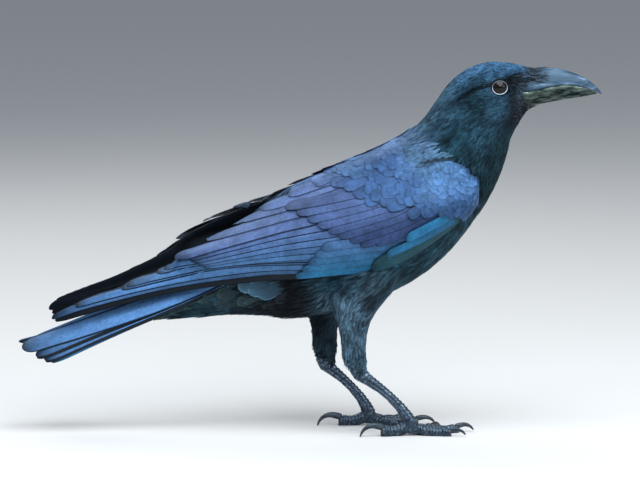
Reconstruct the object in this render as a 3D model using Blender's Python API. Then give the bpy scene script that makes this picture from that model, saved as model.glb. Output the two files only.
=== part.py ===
"""A crow standing on both feet with its wings folded, at life size.

Metres, +X towards the bill, +Y towards the bird's left, +Z up. The floor is z = 0, and the origin ends
up under the middle of the whole bird. Sizes below are in millimetres and are scaled by MM.
"""

import math

import bmesh
import bpy
from mathutils import Matrix, Vector

MM = 0.001
GAP = 0.3  # between neighbouring solids

# Driving sizes of the bird, in mm.
TAIL_LENGTH = 172.0
TAIL_FEATHERS = 12
TAIL_ROOT = (-62.0, 136.0)  # x and z of the middle of the tail's root
TAIL_DROP = 65.0  # how much lower its tip is
OUTER_SHORTER = 18.0  # how much further forward the outermost feathers end
TIP_NOTCH = 3.2  # depth of the notch between two feather tips
EYE_RADIUS = 7.6
STANCE_HALF_WIDTH = 27.0  # from the bird's middle to each foot
MIDDLE_TOE, INNER_TOE, OUTER_TOE, HIND_TOE = 40.0, 28.0, 32.0, 25.0
FRONT_CLAW, HIND_CLAW = 13.0, 17.0
TOE_RADIUS, HIND_TOE_RADIUS = 3.7, 4.5

BODY_SIDES = 20
WING_ARC = 7  # points across a wing's outer face
LEG_SIDES = 10
CLAW_SIDES = 7

# Rings of head, neck and trunk in the bird's middle plane, from the bill back to the tail: where the ring
# meets the crown or back (x, z), where it meets the throat or belly (x, z), and its half width.
BODY_RINGS = [
    ((177.6, 291.0), (176.5, 257.0), 12.0),  # face, round the base of the bill
    ((168.8, 294.4), (169.6, 246.5), 15.8),  # lores
    ((153.6, 297.1), (162.4, 233.0), 19.0),  # eyes
    ((137.6, 296.4), (158.0, 221.0), 21.2),  # crown
    ((120.8, 289.5), (155.0, 210.0), 22.3),  # back of the head
    ((107.2, 276.8), (151.5, 201.0), 23.5),  # nape
    ((96.8, 262.3), (147.2, 191.5), 26.5),  # middle of the neck
    ((86.0, 248.6), (140.8, 180.5), 32.0),  # foot of the neck
    ((71.0, 237.6), (129.6, 164.5), 38.0),  # shoulders
    ((52.0, 228.0), (113.0, 143.6), 41.5),  # breast
    ((29.0, 217.9), (92.0, 125.0), 42.0),
    ((5.0, 208.0), (67.0, 110.8), 40.5),  # belly
    ((-17.0, 197.0), (40.0, 101.0), 37.0),
    ((-38.4, 183.0), (9.6, 92.5), 31.5),  # vent
    ((-56.0, 168.0), (-16.0, 89.8), 25.0),  # rump
    ((-70.4, 155.5), (-38.4, 92.0), 18.5),
    ((-84.0, 143.5), (-66.0, 92.0), 13.5),  # coverts over and under the tail
    ((-97.0, 131.0), (-97.0, 89.0), 10.0),
    ((-110.0, 120.0), (-128.0, 86.5), 6.0),
]
HEAD_END = 5.4  # places along BODY_RINGS where the head ends and the neck ends
NECK_END = 7.9
BODY_END = len(BODY_RINGS) - 1.0
CUT = 0.02  # half a thin cut, as a share of the way from one ring to the next

# Rings of the bill: x, the height of the ridge or keel, the height of the cutting edge, half width.
UPPER_BILL = [
    (168.0, 287.0, 272.8, 8.0),
    (178.0, 290.6, 273.6, 9.2),
    (187.5, 291.6, 276.0, 8.2),
    (197.0, 291.0, 278.0, 7.0),
    (207.0, 288.6, 278.2, 5.7),
    (216.0, 285.2, 276.8, 4.3),
    (224.0, 280.4, 274.2, 2.8),
    (229.5, 275.6, 272.0, 1.4),
    (232.4, 271.6, 270.2, 0.45),
]
LOWER_BILL = [
    (168.0, 260.5, 272.3, 7.4),
    (178.0, 261.3, 273.1, 8.3),
    (187.5, 263.3, 275.5, 7.2),
    (197.0, 265.2, 277.5, 6.0),
    (207.0, 266.9, 277.7, 4.8),
    (216.0, 268.2, 276.3, 3.5),
    (224.0, 269.8, 273.7, 2.0),
    (228.6, 270.8, 272.0, 0.7),
]
EYE_CENTRE = (152.0, 12.4, 278.0)

# Rings of the right wing: x, upper edge (y, z), how far out its face bulges, lower edge (y, z), thickness.
WING_ARM = [
    (133.6, (-30.0, 199.0), -33.5, (-30.5, 192.0), 4.0),
    (129.8, (-28.0, 206.0), -38.5, (-29.5, 182.0), 8.0),
    (121.6, (-26.0, 212.0), -43.5, (-31.0, 171.0), 10.0),
    (107.0, (-25.0, 214.5), -48.0, (-35.0, 161.5), 11.0),
    (88.0, (-24.0, 214.5), -51.5, (-38.0, 151.0), 11.0),
    (62.0, (-23.0, 213.5), -53.5, (-40.0, 141.0), 10.0),
    (36.0, (-20.5, 210.5), -53.5, (-40.0, 133.0), 9.0),
    (10.0, (-16.5, 203.8), -51.5, (-39.0, 128.0), 8.0),
]
WING_SECONDARIES = [
    (9.5, (-16.4, 203.6), -51.5, (-39.0, 128.0), 8.0),
    (-12.0, (-11.5, 192.5), -48.5, (-37.0, 127.5), 7.0),
    (-38.4, (-7.5, 179.5), -43.5, (-33.5, 130.0), 5.5),
    (-64.0, (-5.0, 166.5), -37.0, (-29.0, 133.0), 4.2),
    (-88.0, (-4.5, 153.5), -30.0, (-24.0, 134.0), 3.0),
    (-101.0, (-5.0, 146.0), -20.0, (-16.0, 135.0), 2.0),
    (-108.5, (-7.5, 140.5), -11.5, (-10.5, 137.5), 1.0),
]
WING_PRIMARIES = [
    (-24.0, (-29.0, 136.0), -32.5, (-29.5, 124.5), 2.5),
    (-38.4, (-26.0, 142.0), -32.0, (-29.0, 123.0), 3.0),
    (-64.0, (-18.0, 147.0), -28.5, (-25.5, 120.5), 3.0),
    (-88.0, (-9.0, 144.0), -23.5, (-22.0, 118.0), 2.8),
    (-110.0, (-5.0, 136.5), -20.0, (-19.0, 115.0), 2.4),
    (-136.0, (-5.0, 126.0), -17.0, (-16.8, 108.5), 2.0),
    (-160.0, (-5.5, 116.0), -15.0, (-15.0, 102.5), 1.7),
    (-184.0, (-6.5, 106.5), -12.8, (-12.5, 96.8), 1.4),
    (-200.0, (-8.0, 99.0), -11.2, (-11.0, 93.0), 1.1),
    (-206.5, (-9.0, 94.0), -10.3, (-10.0, 92.0), 0.8),
]
SHOULDER = Vector((110.0, 0.0, 195.0))
LEFT_WING_PITCH = math.radians(1.8)  # the left wing is held a little higher, by this turn
LEFT_WING_RISE = 8.0  # and by this much more where its innermost flight feathers end,
LEFT_WING_RISE_LENGTH = 175.0  # halfway along this stretch of it

# Rings of each feathered thigh, by how far down the leg they are: centre x and z, half length, half width.
# Both are stated for the right leg; the left one stands THIGH_STEP further back.
THIGH_RINGS = [
    (46.0, 142.0, 31.0, 15.0),
    (43.0, 122.0, 30.0, 17.0),
    (38.0, 108.0, 24.0, 15.5),
    (35.5, 97.5, 18.0, 12.5),
    (34.8, 87.0, 13.0, 10.0),
    (34.8, 76.0, 10.4, 8.6),
    (35.2, 65.0, 9.8, 7.6),
    (36.6, 58.5, 8.0, 6.2),
]
THIGH_SPREAD = 3.5  # the top of the thigh lies this much nearer the bird's middle than its foot
THIGH_STEP = 23.0
FOOT_STEP = 33.0
# Rings of the bare leg, from the heel down to the ball of the foot: x, z, half depth, half width.
TARSUS_RINGS = [
    (36.9, 57.6, 7.4, 5.4),
    (37.4, 53.5, 7.2, 5.4),
    (40.3, 49.0, 6.2, 4.7),
    (46.3, 44.5, 4.9, 3.8),
    (56.0, 37.5, 4.1, 3.0),
    (64.5, 30.2, 3.9, 2.8),
    (72.0, 22.5, 4.2, 3.1),
    (77.0, 15.5, 5.0, 4.2),
    (80.0, 10.0, 5.8, 5.2),
    (81.2, 5.4, 5.4, 5.2),
    (81.8, 1.8, 3.6, 3.8),
]
FOOT_CENTRE = 81.0  # x of the point that the toes leave
# Each toe: its name, its length, its direction away from straight ahead (positive towards the bird's
# middle), and the two directions that it is clipped between, so that neighbours don't touch.
TOES = [
    ("middle", MIDDLE_TOE, 2.0, (-13.0, 18.0)),
    ("inner", INNER_TOE, 34.0, (18.0, 110.0)),
    ("outer", OUTER_TOE, -28.0, (-110.0, -13.0)),
    ("hind", HIND_TOE, 176.0, (110.0, 250.0)),
]
FOOT_TURN = {"right": 18.0, "left": -3.0}  # how far each foot turns towards the bird's middle, in degrees

FINISHES = {  # colour, roughness
    "plumage_dark": ((0.035, 0.055, 0.070), 0.55),
    "plumage_gloss": ((0.060, 0.095, 0.240), 0.40),
    "bill": ((0.050, 0.065, 0.085), 0.35),
    "leg": ((0.045, 0.055, 0.075), 0.50),
    "claw": ((0.030, 0.035, 0.045), 0.30),
    "eye": ((0.030, 0.015, 0.008), 0.05),
}


def clear_scene():
    for thing in list(bpy.data.objects):
        bpy.data.objects.remove(thing)


def new_collection(name):
    collection = bpy.data.collections.new(name)
    bpy.context.scene.collection.children.link(collection)
    return collection


def finish_named(name):
    """The material of that name, made the first time it is asked for."""
    if name in bpy.data.materials:
        return bpy.data.materials[name]
    colour, roughness = FINISHES[name]
    material = bpy.data.materials.new(name)
    material.use_nodes = True
    shader = material.node_tree.nodes["Principled BSDF"]
    shader.inputs["Base Color"].default_value = (*colour, 1.0)
    shader.inputs["Roughness"].default_value = roughness
    return material


def smoothed(rows, at):
    """A row part of the way along a table of equal rows, on a Catmull-Rom curve through them."""
    first = min(int(at), len(rows) - 2)
    share = at - first
    spread = [flat(rows[min(max(first + i, 0), len(rows) - 1)]) for i in (-1, 0, 1, 2)]
    return [
        0.5
        * (
            2 * b
            + (c - a) * share
            + (2 * a - 5 * b + 4 * c - d) * share**2
            + (3 * b - a - 3 * c + d) * share**3
        )
        for a, b, c, d in zip(*spread)
    ]


def flat(row):
    """A row of numbers and pairs as one list of numbers."""
    return [v for item in row for v in (item if isinstance(item, tuple) else (item,))]


def steps(start, end, count):
    return [start + (end - start) * i / count for i in range(count + 1)]


def loft(name, rings, finish, collection):
    """A closed solid through rings of points, in mm, with a flat cap on each end."""
    shape = bmesh.new()
    rows = [[shape.verts.new(Vector(p) * MM) for p in ring] for ring in rings]
    sides = len(rows[0])
    for near, far in zip(rows, rows[1:]):
        for i in range(sides):
            shape.faces.new((near[i], near[i - 1], far[i - 1], far[i]))
    shape.faces.new(rows[0])
    shape.faces.new(list(reversed(rows[-1])))
    bmesh.ops.recalc_face_normals(shape, faces=shape.faces)
    bmesh.ops.triangulate(shape, faces=shape.faces)
    mesh = bpy.data.meshes.new(name)
    shape.to_mesh(mesh)
    shape.free()
    mesh.shade_smooth()
    mesh.set_sharp_from_angle(angle=math.radians(50))
    solid = bpy.data.objects.new(name, mesh)
    mesh.materials.append(finish_named(finish))
    collection.objects.link(solid)
    return solid


def as_cutter(solid):
    """Makes a solid a helper that only cuts others."""
    solid.hide_render = True
    solid.display_type = "WIRE"
    return solid


def cut(solid, cutter):
    """Takes the cutter's shape out of the solid."""
    boolean = solid.modifiers.new("cut_by_" + cutter.name, "BOOLEAN")
    boolean.operation = "DIFFERENCE"
    boolean.solver = "EXACT"
    boolean.object = cutter


def clip(solid, point, normal):
    """Removes what lies past a plane, given in mm, and closes the solid there."""
    shape = bmesh.new()
    shape.from_mesh(solid.data)
    found = bmesh.ops.bisect_plane(
        shape,
        geom=shape.verts[:] + shape.edges[:] + shape.faces[:],
        plane_co=Vector(point) * MM,
        plane_no=normal,
        clear_outer=True,
    )
    edges = [e for e in found["geom_cut"] if isinstance(e, bmesh.types.BMEdge)]
    if edges:
        bmesh.ops.holes_fill(shape, edges=edges)
    bmesh.ops.triangulate(shape, faces=shape.faces)
    bmesh.ops.recalc_face_normals(shape, faces=shape.faces)
    shape.to_mesh(solid.data)
    shape.free()


# --- head, neck and trunk -------------------------------------------------------------------------


def body_ring(at, grow):
    """One ring of the body, an egg-shaped section across the line from back to belly."""
    top_x, top_z, low_x, low_z, half_width = smoothed(BODY_RINGS, at)
    top, low = Vector((top_x, 0, top_z)), Vector((low_x, 0, low_z))
    outward = (top - low).normalized() * grow
    top, low = top + outward, low - outward
    middle = (top + low) / 2
    points = []
    for i in range(BODY_SIDES):
        angle = math.tau * i / BODY_SIDES
        end = top if math.cos(angle) > 0 else low
        point = middle.lerp(end, abs(math.cos(angle)))
        point.y = (half_width + grow) * math.sin(angle)
        points.append(point)
    return points


def body_length(name, start, end, count, collection, grow=0.0):
    rings = [body_ring(at, grow) for at in steps(start, end, count)]
    return loft(name, rings, "plumage_dark", collection)


def bill_half(name, table, outward, collection, grow=0.0):
    """Half of the bill: a rounded ridge or keel over a flat cutting edge."""
    rings = []
    for at in steps(0, len(table) - 1, 10):
        x, ridge, edge, half_width = smoothed(table, at)
        height = ridge - edge
        ring = []
        for i in range(9):
            angle = math.pi * i / 8
            wide = math.cos(angle) * (1 - 0.25 * math.sin(angle) ** 2)
            tall = math.sin(angle) ** 0.8
            y = (half_width + grow) * wide
            z = edge - outward * grow + (height + 2 * outward * grow) * tall
            ring.append((x, y, z))
        rings.append(ring)
    rings[0] = [(x - grow, y, z) for x, y, z in rings[0]]
    return loft(name, rings, "bill", collection)


def eyeball(name, side, collection, grow=0.0):
    x, y, z = EYE_CENTRE
    bpy.ops.mesh.primitive_uv_sphere_add(segments=16, ring_count=8, radius=(EYE_RADIUS + grow) * MM)
    eye = bpy.context.object
    eye.name = eye.data.name = name
    turn = Matrix.Rotation(math.pi / 2, 4, "X")  # its poles face sideways, as the pupils do
    eye.data.transform(Matrix.Translation(Vector((x, side * y, z)) * MM) @ turn)
    eye.data.materials.append(finish_named("eye"))
    eye.data.shade_smooth()
    for home in list(eye.users_collection):
        home.objects.unlink(eye)
    collection.objects.link(eye)
    return eye


# --- wings and tail -------------------------------------------------------------------------------


def wing_ring(row, to_side, grow):
    """A crescent across the folded wing: its bulging outer face, then back along its inner face."""
    x, top_y, top_z, bulge, low_y, low_z, thickness = row
    top, low = Vector((x, top_y, top_z + grow)), Vector((x, low_y, low_z - grow))
    middle = Vector((x, bulge, (top_z + low_z) / 2))
    handle = 2 * middle - (top + low) / 2
    outer, inner = [], []
    for share in steps(0, 1, WING_ARC - 1):
        point = (1 - share) ** 2 * top + 2 * share * (1 - share) * handle + share**2 * low
        depth = 0.35 + (thickness - 0.35) * math.sin(math.pi * share) ** 0.7
        along = 2 * (1 - share) * (handle - top) + 2 * share * (low - handle)
        inward = Vector((0, -along.z, along.y)).normalized()
        outer.append(to_side(point - inward * grow))
        inner.append(to_side(point + inward * (depth + grow)))
    return outer + inner[::-1]


def right_side(point):
    return point


def left_side(point):
    """The same place on the left wing, mirrored and held a little higher."""
    turned = Matrix.Rotation(LEFT_WING_PITCH, 3, "Y") @ (point - SHOULDER) + SHOULDER
    rearward = min(max((10.0 - turned.x) / LEFT_WING_RISE_LENGTH, 0.0), 1.0)
    rise = LEFT_WING_RISE * math.sin(math.pi * rearward) ** 2
    return Vector((turned.x, -turned.y, turned.z + rise))


def wing_piece(name, table, to_side, count, collection, grow=0.0):
    rings = [wing_ring(smoothed(table, at), to_side, grow) for at in steps(0, len(table) - 1, count)]
    return loft(name, rings, "plumage_gloss", collection)



def tail_point(along, across):
    """The tail's upper face: along 0 to 1 from root to tip, across -1 to 1 from right to left."""
    arch = 10 + 65 * along - 56 * along**2
    feather = (across + 1) / 2 * TAIL_FEATHERS
    notch = TIP_NOTCH * (2 * abs(feather % 1.0 - 0.5)) ** 3
    reach = TAIL_LENGTH - OUTER_SHORTER * across**2 - notch
    x = TAIL_ROOT[0] - reach * along
    share = (TAIL_ROOT[0] - x) / TAIL_LENGTH
    z = TAIL_ROOT[1] - TAIL_DROP * share + 12 * share * (1 - share) - arch * abs(across) ** 1.6
    return Vector((x, (15 + 8 * along) * across, z))


def tail_fan(name, collection):
    """The folded tail: a roof of overlapping feathers with a scalloped end, closed underneath."""
    columns = TAIL_FEATHERS * 3
    rings = []
    for i in range(columns + 1):
        across = -1 + 2 * i / columns
        upper, lower = [], []
        for along in (0.0, 0.25, 0.5, 0.75, 0.94, 1.0):
            depth = 0.8 + 1.6 * (1 - across**2) * (1 - along)
            point = tail_point(along, across)
            upper.append(point)
            lower.append(point - Vector((0, 0, depth * (1 + 0.9 * abs(across)))))
        rings.append(upper + lower[::-1])
    return loft(name, rings, "plumage_gloss", collection)


# --- legs and feet --------------------------------------------------------------------------------


def oval(centre, forward, half_depth, half_width, sides):
    """A ring round a centre: half_depth in the leg's own fore-and-aft plane, half_width across it."""
    deep = Vector((forward.z, 0, -forward.x)).normalized()
    wide = Vector((0, 1, 0))
    ring = []
    for i in range(sides):
        angle = math.tau * i / sides
        ring.append(centre + deep * half_depth * math.cos(angle) + wide * half_width * math.sin(angle))
    return ring


def thigh(name, side, shift, collection, grow=0.0):
    rings = []
    for at in steps(0, len(THIGH_RINGS) - 1, 9):
        x, z, half_length, half_width = smoothed(THIGH_RINGS, at)
        y = side * (STANCE_HALF_WIDTH - THIGH_SPREAD * (1 - at / (len(THIGH_RINGS) - 1)))
        centre = Vector((x - shift, y, z))
        rings.append(oval(centre, Vector((0, 0, -1)), half_length + grow, half_width + grow, LEG_SIDES + 4))
    rings[-1] = [p - Vector((0, 0, grow)) for p in rings[-1]]
    return loft(name, rings, "plumage_dark", collection)


def tarsus(name, side, shifts, collection, grow=0.0):
    """The bare leg from heel to ball of foot. shifts are how far back its top and its bottom stand."""
    heel, ball = TARSUS_RINGS[0][1], TARSUS_RINGS[-1][1]
    centres = []
    for x, z, _, _ in TARSUS_RINGS:
        share = math.sqrt((heel - z) / (heel - ball))
        shift = shifts[0] + (shifts[1] - shifts[0]) * share
        centres.append(Vector((x - shift, side * STANCE_HALF_WIDTH, z)))
    rings = []
    for i, (_, _, half_depth, half_width) in enumerate(TARSUS_RINGS):
        forward = Vector((0, 0, -1))
        if 1 < i < len(centres) - 2:
            forward = centres[i + 1] - centres[i - 1]
        rings.append(oval(centres[i], forward, half_depth + grow, half_width + grow, LEG_SIDES))
    rings = [[(p.x, p.y, max(p.z, GAP)) for p in ring] for ring in rings]
    return loft(name, rings, "leg", collection)


def toe_ring(centre, ahead, half_width, half_height, sides):
    """A ring across a toe, flattened where it rests on the floor."""
    side = Vector((-ahead.y, ahead.x, 0))
    ring = []
    for i in range(sides):
        angle = math.tau * (i + 0.5) / sides
        point = centre + side * half_width * math.cos(angle) + Vector((0, 0, half_height * math.sin(angle)))
        point.z = max(point.z, 0.0)
        ring.append(point)
    return ring


def toe(name, start, ahead, length, radius, joints, collection):
    """A toe from the ball of the foot to its last pad, swelling at each pad and pinched between them."""
    root, sole = 4.0, 0.35  # where it starts, and how much of its underside the floor flattens
    rings = []
    for at in steps(0, 1, 2 * joints + 1):
        pad = 0.5 - 0.5 * math.cos(math.tau * at * joints)
        half_width = radius * (1 - 0.12 * at) * (0.86 + 0.2 * pad)
        instep = 2.6 * (1 - min(at / 0.45, 1)) ** 2
        centre = start + ahead * (root + (length - root) * at)
        centre.z = half_width * 1.05 + instep - sole
        rings.append(toe_ring(centre, ahead, half_width, half_width * 1.12, LEG_SIDES))
    return loft(name, rings, "leg", collection)


def claw(name, start, ahead, reach, rise, fall, tip_height, collection):
    """A claw that leaves the toe upwards at angle rise and curves down to the floor at angle fall."""
    curve_radius = reach / (math.sin(rise) + math.sin(fall))
    root_radius = 0.15 * reach
    tip_radius = 0.35
    height = tip_height + tip_radius + curve_radius * (math.cos(rise) - math.cos(fall))
    rings = []
    for share in steps(0, 1, 6):
        heading = rise - (rise + fall) * share
        along = curve_radius * (math.sin(rise) - math.sin(heading))
        up = height - curve_radius * (math.cos(rise) - math.cos(heading))
        centre = start + ahead * along
        centre.z = up
        across = Vector((-ahead.y, ahead.x, 0))
        lean = heading if share > 0 else 0.0  # its root is upright, against the toe
        over = -ahead * math.sin(lean) + Vector((0, 0, math.cos(lean)))
        size = root_radius + (tip_radius - root_radius) * share**1.2
        ring = []
        for i in range(CLAW_SIDES):
            angle = math.tau * i / CLAW_SIDES
            point = centre + across * size * 0.8 * math.cos(angle) + over * size * 1.15 * math.sin(angle)
            point.z = max(point.z, 0.0)
            ring.append(point)
        rings.append(ring)
    return loft(name, rings, "claw", collection)


def foot(side_name, side, shift, shank, collection):
    """Four toes and their claws, fanned round the ball of the foot."""
    centre = Vector((FOOT_CENTRE - shift, side * STANCE_HALF_WIDTH, 0))
    for toe_name, length, bearing, limits in TOES:
        turn = FOOT_TURN[side_name]
        ahead = heading_on_floor(bearing + turn, side)
        hind = toe_name == "hind"
        radius = HIND_TOE_RADIUS if hind else TOE_RADIUS
        joints = {"middle": 3, "outer": 3}.get(toe_name, 2)
        piece = toe(f"toe_{toe_name}_{side_name}", centre, ahead, length, radius, joints, collection)
        for limit, sign in zip(limits, (-1, 1)):
            edge = heading_on_floor(limit + turn, side)
            away = Vector((-edge.y, edge.x, 0)) * sign * -side
            clip(piece, centre - away * GAP / 2, away)
        cut(piece, shank)
        reach = HIND_CLAW if hind else FRONT_CLAW * (0.85 if length < MIDDLE_TOE else 1.0)
        rise = math.radians(36 if hind else 30)
        fall = math.radians(78 if hind else 60)
        tip_height = 0.0 if hind else 1.2
        start = centre + ahead * (length + GAP)
        claw(f"claw_{toe_name}_{side_name}", start, ahead, reach, rise, fall, tip_height, collection)


def heading_on_floor(bearing, side):
    """Unit direction on the floor at a bearing from straight ahead, positive towards the bird's middle."""
    angle = math.radians(bearing)
    return Vector((math.cos(angle), -side * math.sin(angle), 0))


def stand_at_origin(solids):
    """Moves every solid so that the whole bird's box is centred over the origin, on the floor."""
    bpy.context.view_layer.update()
    corners = [s.matrix_world @ v.co for s in solids for v in s.data.vertices]
    middle_x = (min(p.x for p in corners) + max(p.x for p in corners)) / 2
    middle_y = (min(p.y for p in corners) + max(p.y for p in corners)) / 2
    for thing in bpy.data.objects:
        thing.data.transform(Matrix.Translation((-middle_x, -middle_y, 0)))


def main():
    clear_scene()
    crow = new_collection("crow")
    tools = new_collection("cutters")

    head = body_length("head", 0.0, HEAD_END - CUT, 10, crow)
    body_length("neck", HEAD_END + CUT, NECK_END - CUT, 4, crow)
    body_length("trunk", NECK_END + CUT, BODY_END, 16, crow)
    grown_body = as_cutter(body_length("body_grown", HEAD_END - 1, BODY_END, 22, tools, grow=GAP))

    bill_half("bill_upper", UPPER_BILL, 1, crow)
    bill_half("bill_lower", LOWER_BILL, -1, crow)
    for table, outward, half in ((UPPER_BILL, 1, "upper"), (LOWER_BILL, -1, "lower")):
        cut(head, as_cutter(bill_half(f"bill_{half}_grown", table, outward, tools, grow=GAP)))

    tail = tail_fan("tail", crow)
    cut(tail, grown_body)

    for side_name, side, to_side in (("right", -1, right_side), ("left", 1, left_side)):
        eyeball(f"eye_{side_name}", side, crow)
        cut(head, as_cutter(eyeball(f"eye_{side_name}_grown", side, tools, grow=GAP)))

        shift = THIGH_STEP if side_name == "left" else 0.0
        foot_shift = FOOT_STEP if side_name == "left" else 0.0
        leg = thigh(f"thigh_{side_name}", side, shift, crow)
        cut(leg, grown_body)
        grown_leg = as_cutter(thigh(f"thigh_{side_name}_grown", side, shift, tools, grow=GAP))
        tarsus(f"tarsus_{side_name}", side, (shift, foot_shift), crow)
        shank = as_cutter(tarsus(f"tarsus_{side_name}_grown", side, (shift, foot_shift), tools, grow=GAP))
        foot(side_name, side, foot_shift, shank, crow)

        wing = f"wing_{side_name}"
        arm = wing_piece(f"{wing}_arm", WING_ARM, to_side, 12, crow)
        inner = wing_piece(f"{wing}_secondaries", WING_SECONDARIES, to_side, 10, crow)
        outer = wing_piece(f"{wing}_primaries", WING_PRIMARIES, to_side, 12, crow)
        cut(outer, as_cutter(wing_piece(f"{wing}_grown", WING_SECONDARIES, to_side, 10, tools, grow=GAP)))
        for piece in (arm, inner, outer):
            cut(piece, grown_body)
            cut(piece, grown_leg)

    stand_at_origin(crow.objects)


main()
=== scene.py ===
"""A crow, life size and still, in its full plumage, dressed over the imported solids."""
import math

import bmesh
import bpy
import numpy as np
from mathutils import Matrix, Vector
from mathutils.bvhtree import BVHTree


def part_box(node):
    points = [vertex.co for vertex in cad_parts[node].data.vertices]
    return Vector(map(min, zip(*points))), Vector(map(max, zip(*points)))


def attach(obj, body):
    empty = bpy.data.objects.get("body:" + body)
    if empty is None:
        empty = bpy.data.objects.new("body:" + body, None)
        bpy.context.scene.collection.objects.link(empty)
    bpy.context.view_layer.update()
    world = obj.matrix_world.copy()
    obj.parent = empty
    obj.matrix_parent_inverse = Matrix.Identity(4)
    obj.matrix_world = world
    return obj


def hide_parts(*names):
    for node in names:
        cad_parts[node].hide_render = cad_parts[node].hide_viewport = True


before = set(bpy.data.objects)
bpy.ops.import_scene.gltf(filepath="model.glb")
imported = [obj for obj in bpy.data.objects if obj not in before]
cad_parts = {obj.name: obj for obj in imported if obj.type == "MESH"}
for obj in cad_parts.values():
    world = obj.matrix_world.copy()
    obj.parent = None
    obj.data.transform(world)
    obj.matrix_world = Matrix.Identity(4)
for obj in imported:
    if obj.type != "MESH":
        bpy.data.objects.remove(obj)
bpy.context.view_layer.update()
MM = 0.001

# --- the body under the feathers ------------------------------------------------------------------
# Head, neck, trunk and feathered thighs are one dark skin with no seam, grown over the solids and then
# drawn in by the depth of the coat: thin on the face and the lower leg, thick on breast and belly.
FLESH = ["head", "neck", "trunk", "thigh_right", "thigh_left"]
SKIN_GRAIN, SKIN_PUFF = 1.5, 0.3
COAT_ON_FACE, COAT_ON_BODY, COAT_ON_LEG = 0.8, 1.9, 0.9
FACE_CENTRE = (152, 272)
FOLD_WIDTH = 2.4


def placed(name, mesh):
    """An object in the scene, unturned at the origin."""
    piece = bpy.data.objects.new(name, mesh)
    bpy.context.scene.collection.objects.link(piece)
    return piece


def as_mesh(name, shape, turned_out=True):
    """The mesh of a shape in the making, its faces turned outward unless they already are."""
    if turned_out:
        bmesh.ops.recalc_face_normals(shape, faces=shape.faces)
    mesh = bpy.data.meshes.new(name)
    shape.to_mesh(mesh)
    shape.free()
    return mesh


def joined_copy(name, nodes, puffed=0.0, plugs=()):
    """One piece from copies of solids, merged and grown by so many mm, with others added as they are."""
    shape = bmesh.new()
    for node in nodes:
        shape.from_mesh(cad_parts[node].data)
    bmesh.ops.remove_doubles(shape, verts=shape.verts, dist=0.01 * MM)
    shape.normal_update()
    for corner in shape.verts:
        corner.co += corner.normal * puffed * MM
    for node in plugs:
        shape.from_mesh(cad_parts[node].data)
    return placed(name, as_mesh(name, shape, turned_out=False))


def made_plain(piece):
    """Turns a piece into the mesh that its modifiers make of it."""
    bpy.context.view_layer.update()
    graph = bpy.context.evaluated_depsgraph_get()
    mesh = bpy.data.meshes.new_from_object(piece.evaluated_get(graph), depsgraph=graph)
    piece.modifiers.clear()
    piece.data = mesh
    mesh.name = piece.name


def remeshed(piece, grain, rounds):
    """Melts the solids of a piece into one even surface and smooths it."""
    melt = piece.modifiers.new("melt", "REMESH")
    melt.mode = "VOXEL"
    melt.voxel_size = grain * MM
    melt.use_smooth_shade = True
    soften = piece.modifiers.new("soften", "SMOOTH")
    soften.factor = 0.5
    soften.iterations = rounds
    made_plain(piece)


def read(mesh, what="vertices", key="co", width=3):
    """The values of one key of a mesh's elements, a row for each."""
    values = np.empty(len(getattr(mesh, what)) * width)
    getattr(mesh, what).foreach_get(key, values)
    return values.reshape(-1, width)


def moved(mesh, places):
    mesh.vertices.foreach_set("co", np.asarray(places, np.float32).ravel())
    mesh.update()


def unit(vectors):
    return vectors / np.maximum(np.linalg.norm(vectors, axis=-1, keepdims=True), 1e-12)


def even_normals(mesh, rounds):
    """The directions outward at a mesh's corners, with its small bumps evened out."""
    edges = read(mesh, "edges", "vertices", 2).astype(int)
    outward = read(mesh, "vertex_normals", "vector")
    for _ in range(rounds):
        total = outward.copy()
        np.add.at(total, edges[:, 0], outward[edges[:, 1]])
        np.add.at(total, edges[:, 1], outward[edges[:, 0]])
        outward = unit(total)
    return outward


def eased(low, high, value):
    """0 at low, 1 at high and smooth between them."""
    share = np.clip((value - low) / (high - low), 0, 1)
    return share * share * (3 - 2 * share)


def give(mesh, name, values, kind="FLOAT_VECTOR"):
    """Stores a value at each corner of a mesh, under a name that node trees read."""
    key = {"FLOAT": "value", "FLOAT_COLOR": "color"}.get(kind, "vector")
    layer = mesh.attributes.new(name, kind, "POINT")
    layer.data.foreach_set(key, np.asarray(values, np.float32).ravel())


# Lines where the coat parts, each sunk into the skin and painted with shade: a fold behind the eye, a
# hollow before it, and the crease where the bend of the wing lies against the neck. Each has how far from
# it the painted shade darkens the dye of feathers and skin, how deep it is and its line in the side view,
# in mm.
FOLDS = [
    (2.4, 0.9, ((146, 279), (139, 277.5), (132.5, 275.5), (122, 269.5))),
    (2.6, 0.5, ((157, 283), (165, 285), (171, 286))),
    (3.0, 1.8, ((95, 219), (106, 222), (118, 221.5), (128, 217), (134.5, 209), (138, 197), (136, 186))),
]
# Broader hollows, where the head's feathers are shortest: round the eye and under the chin. Each has its
# depth, its width and its line.
HOLLOWS = [
    (1.8, 8.5, ((151, 277), (151, 274))),
    (3.4, 9.0, ((174, 258), (167, 250), (160, 238))),
]


def off_line(places, line):
    """How far places lie, in the side view, from a line of short straight runs."""
    nearest = np.full(len(places), np.inf)
    for start, end in zip(np.array(line, float), np.array(line[1:], float)):
        run = end - start
        share = np.clip((places[:, [0, 2]] - start) @ run / (run @ run), 0, 1)
        off = np.linalg.norm(places[:, [0, 2]] - start - share[:, None] * run, axis=1)
        nearest = np.minimum(nearest, off)
    return nearest


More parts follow.
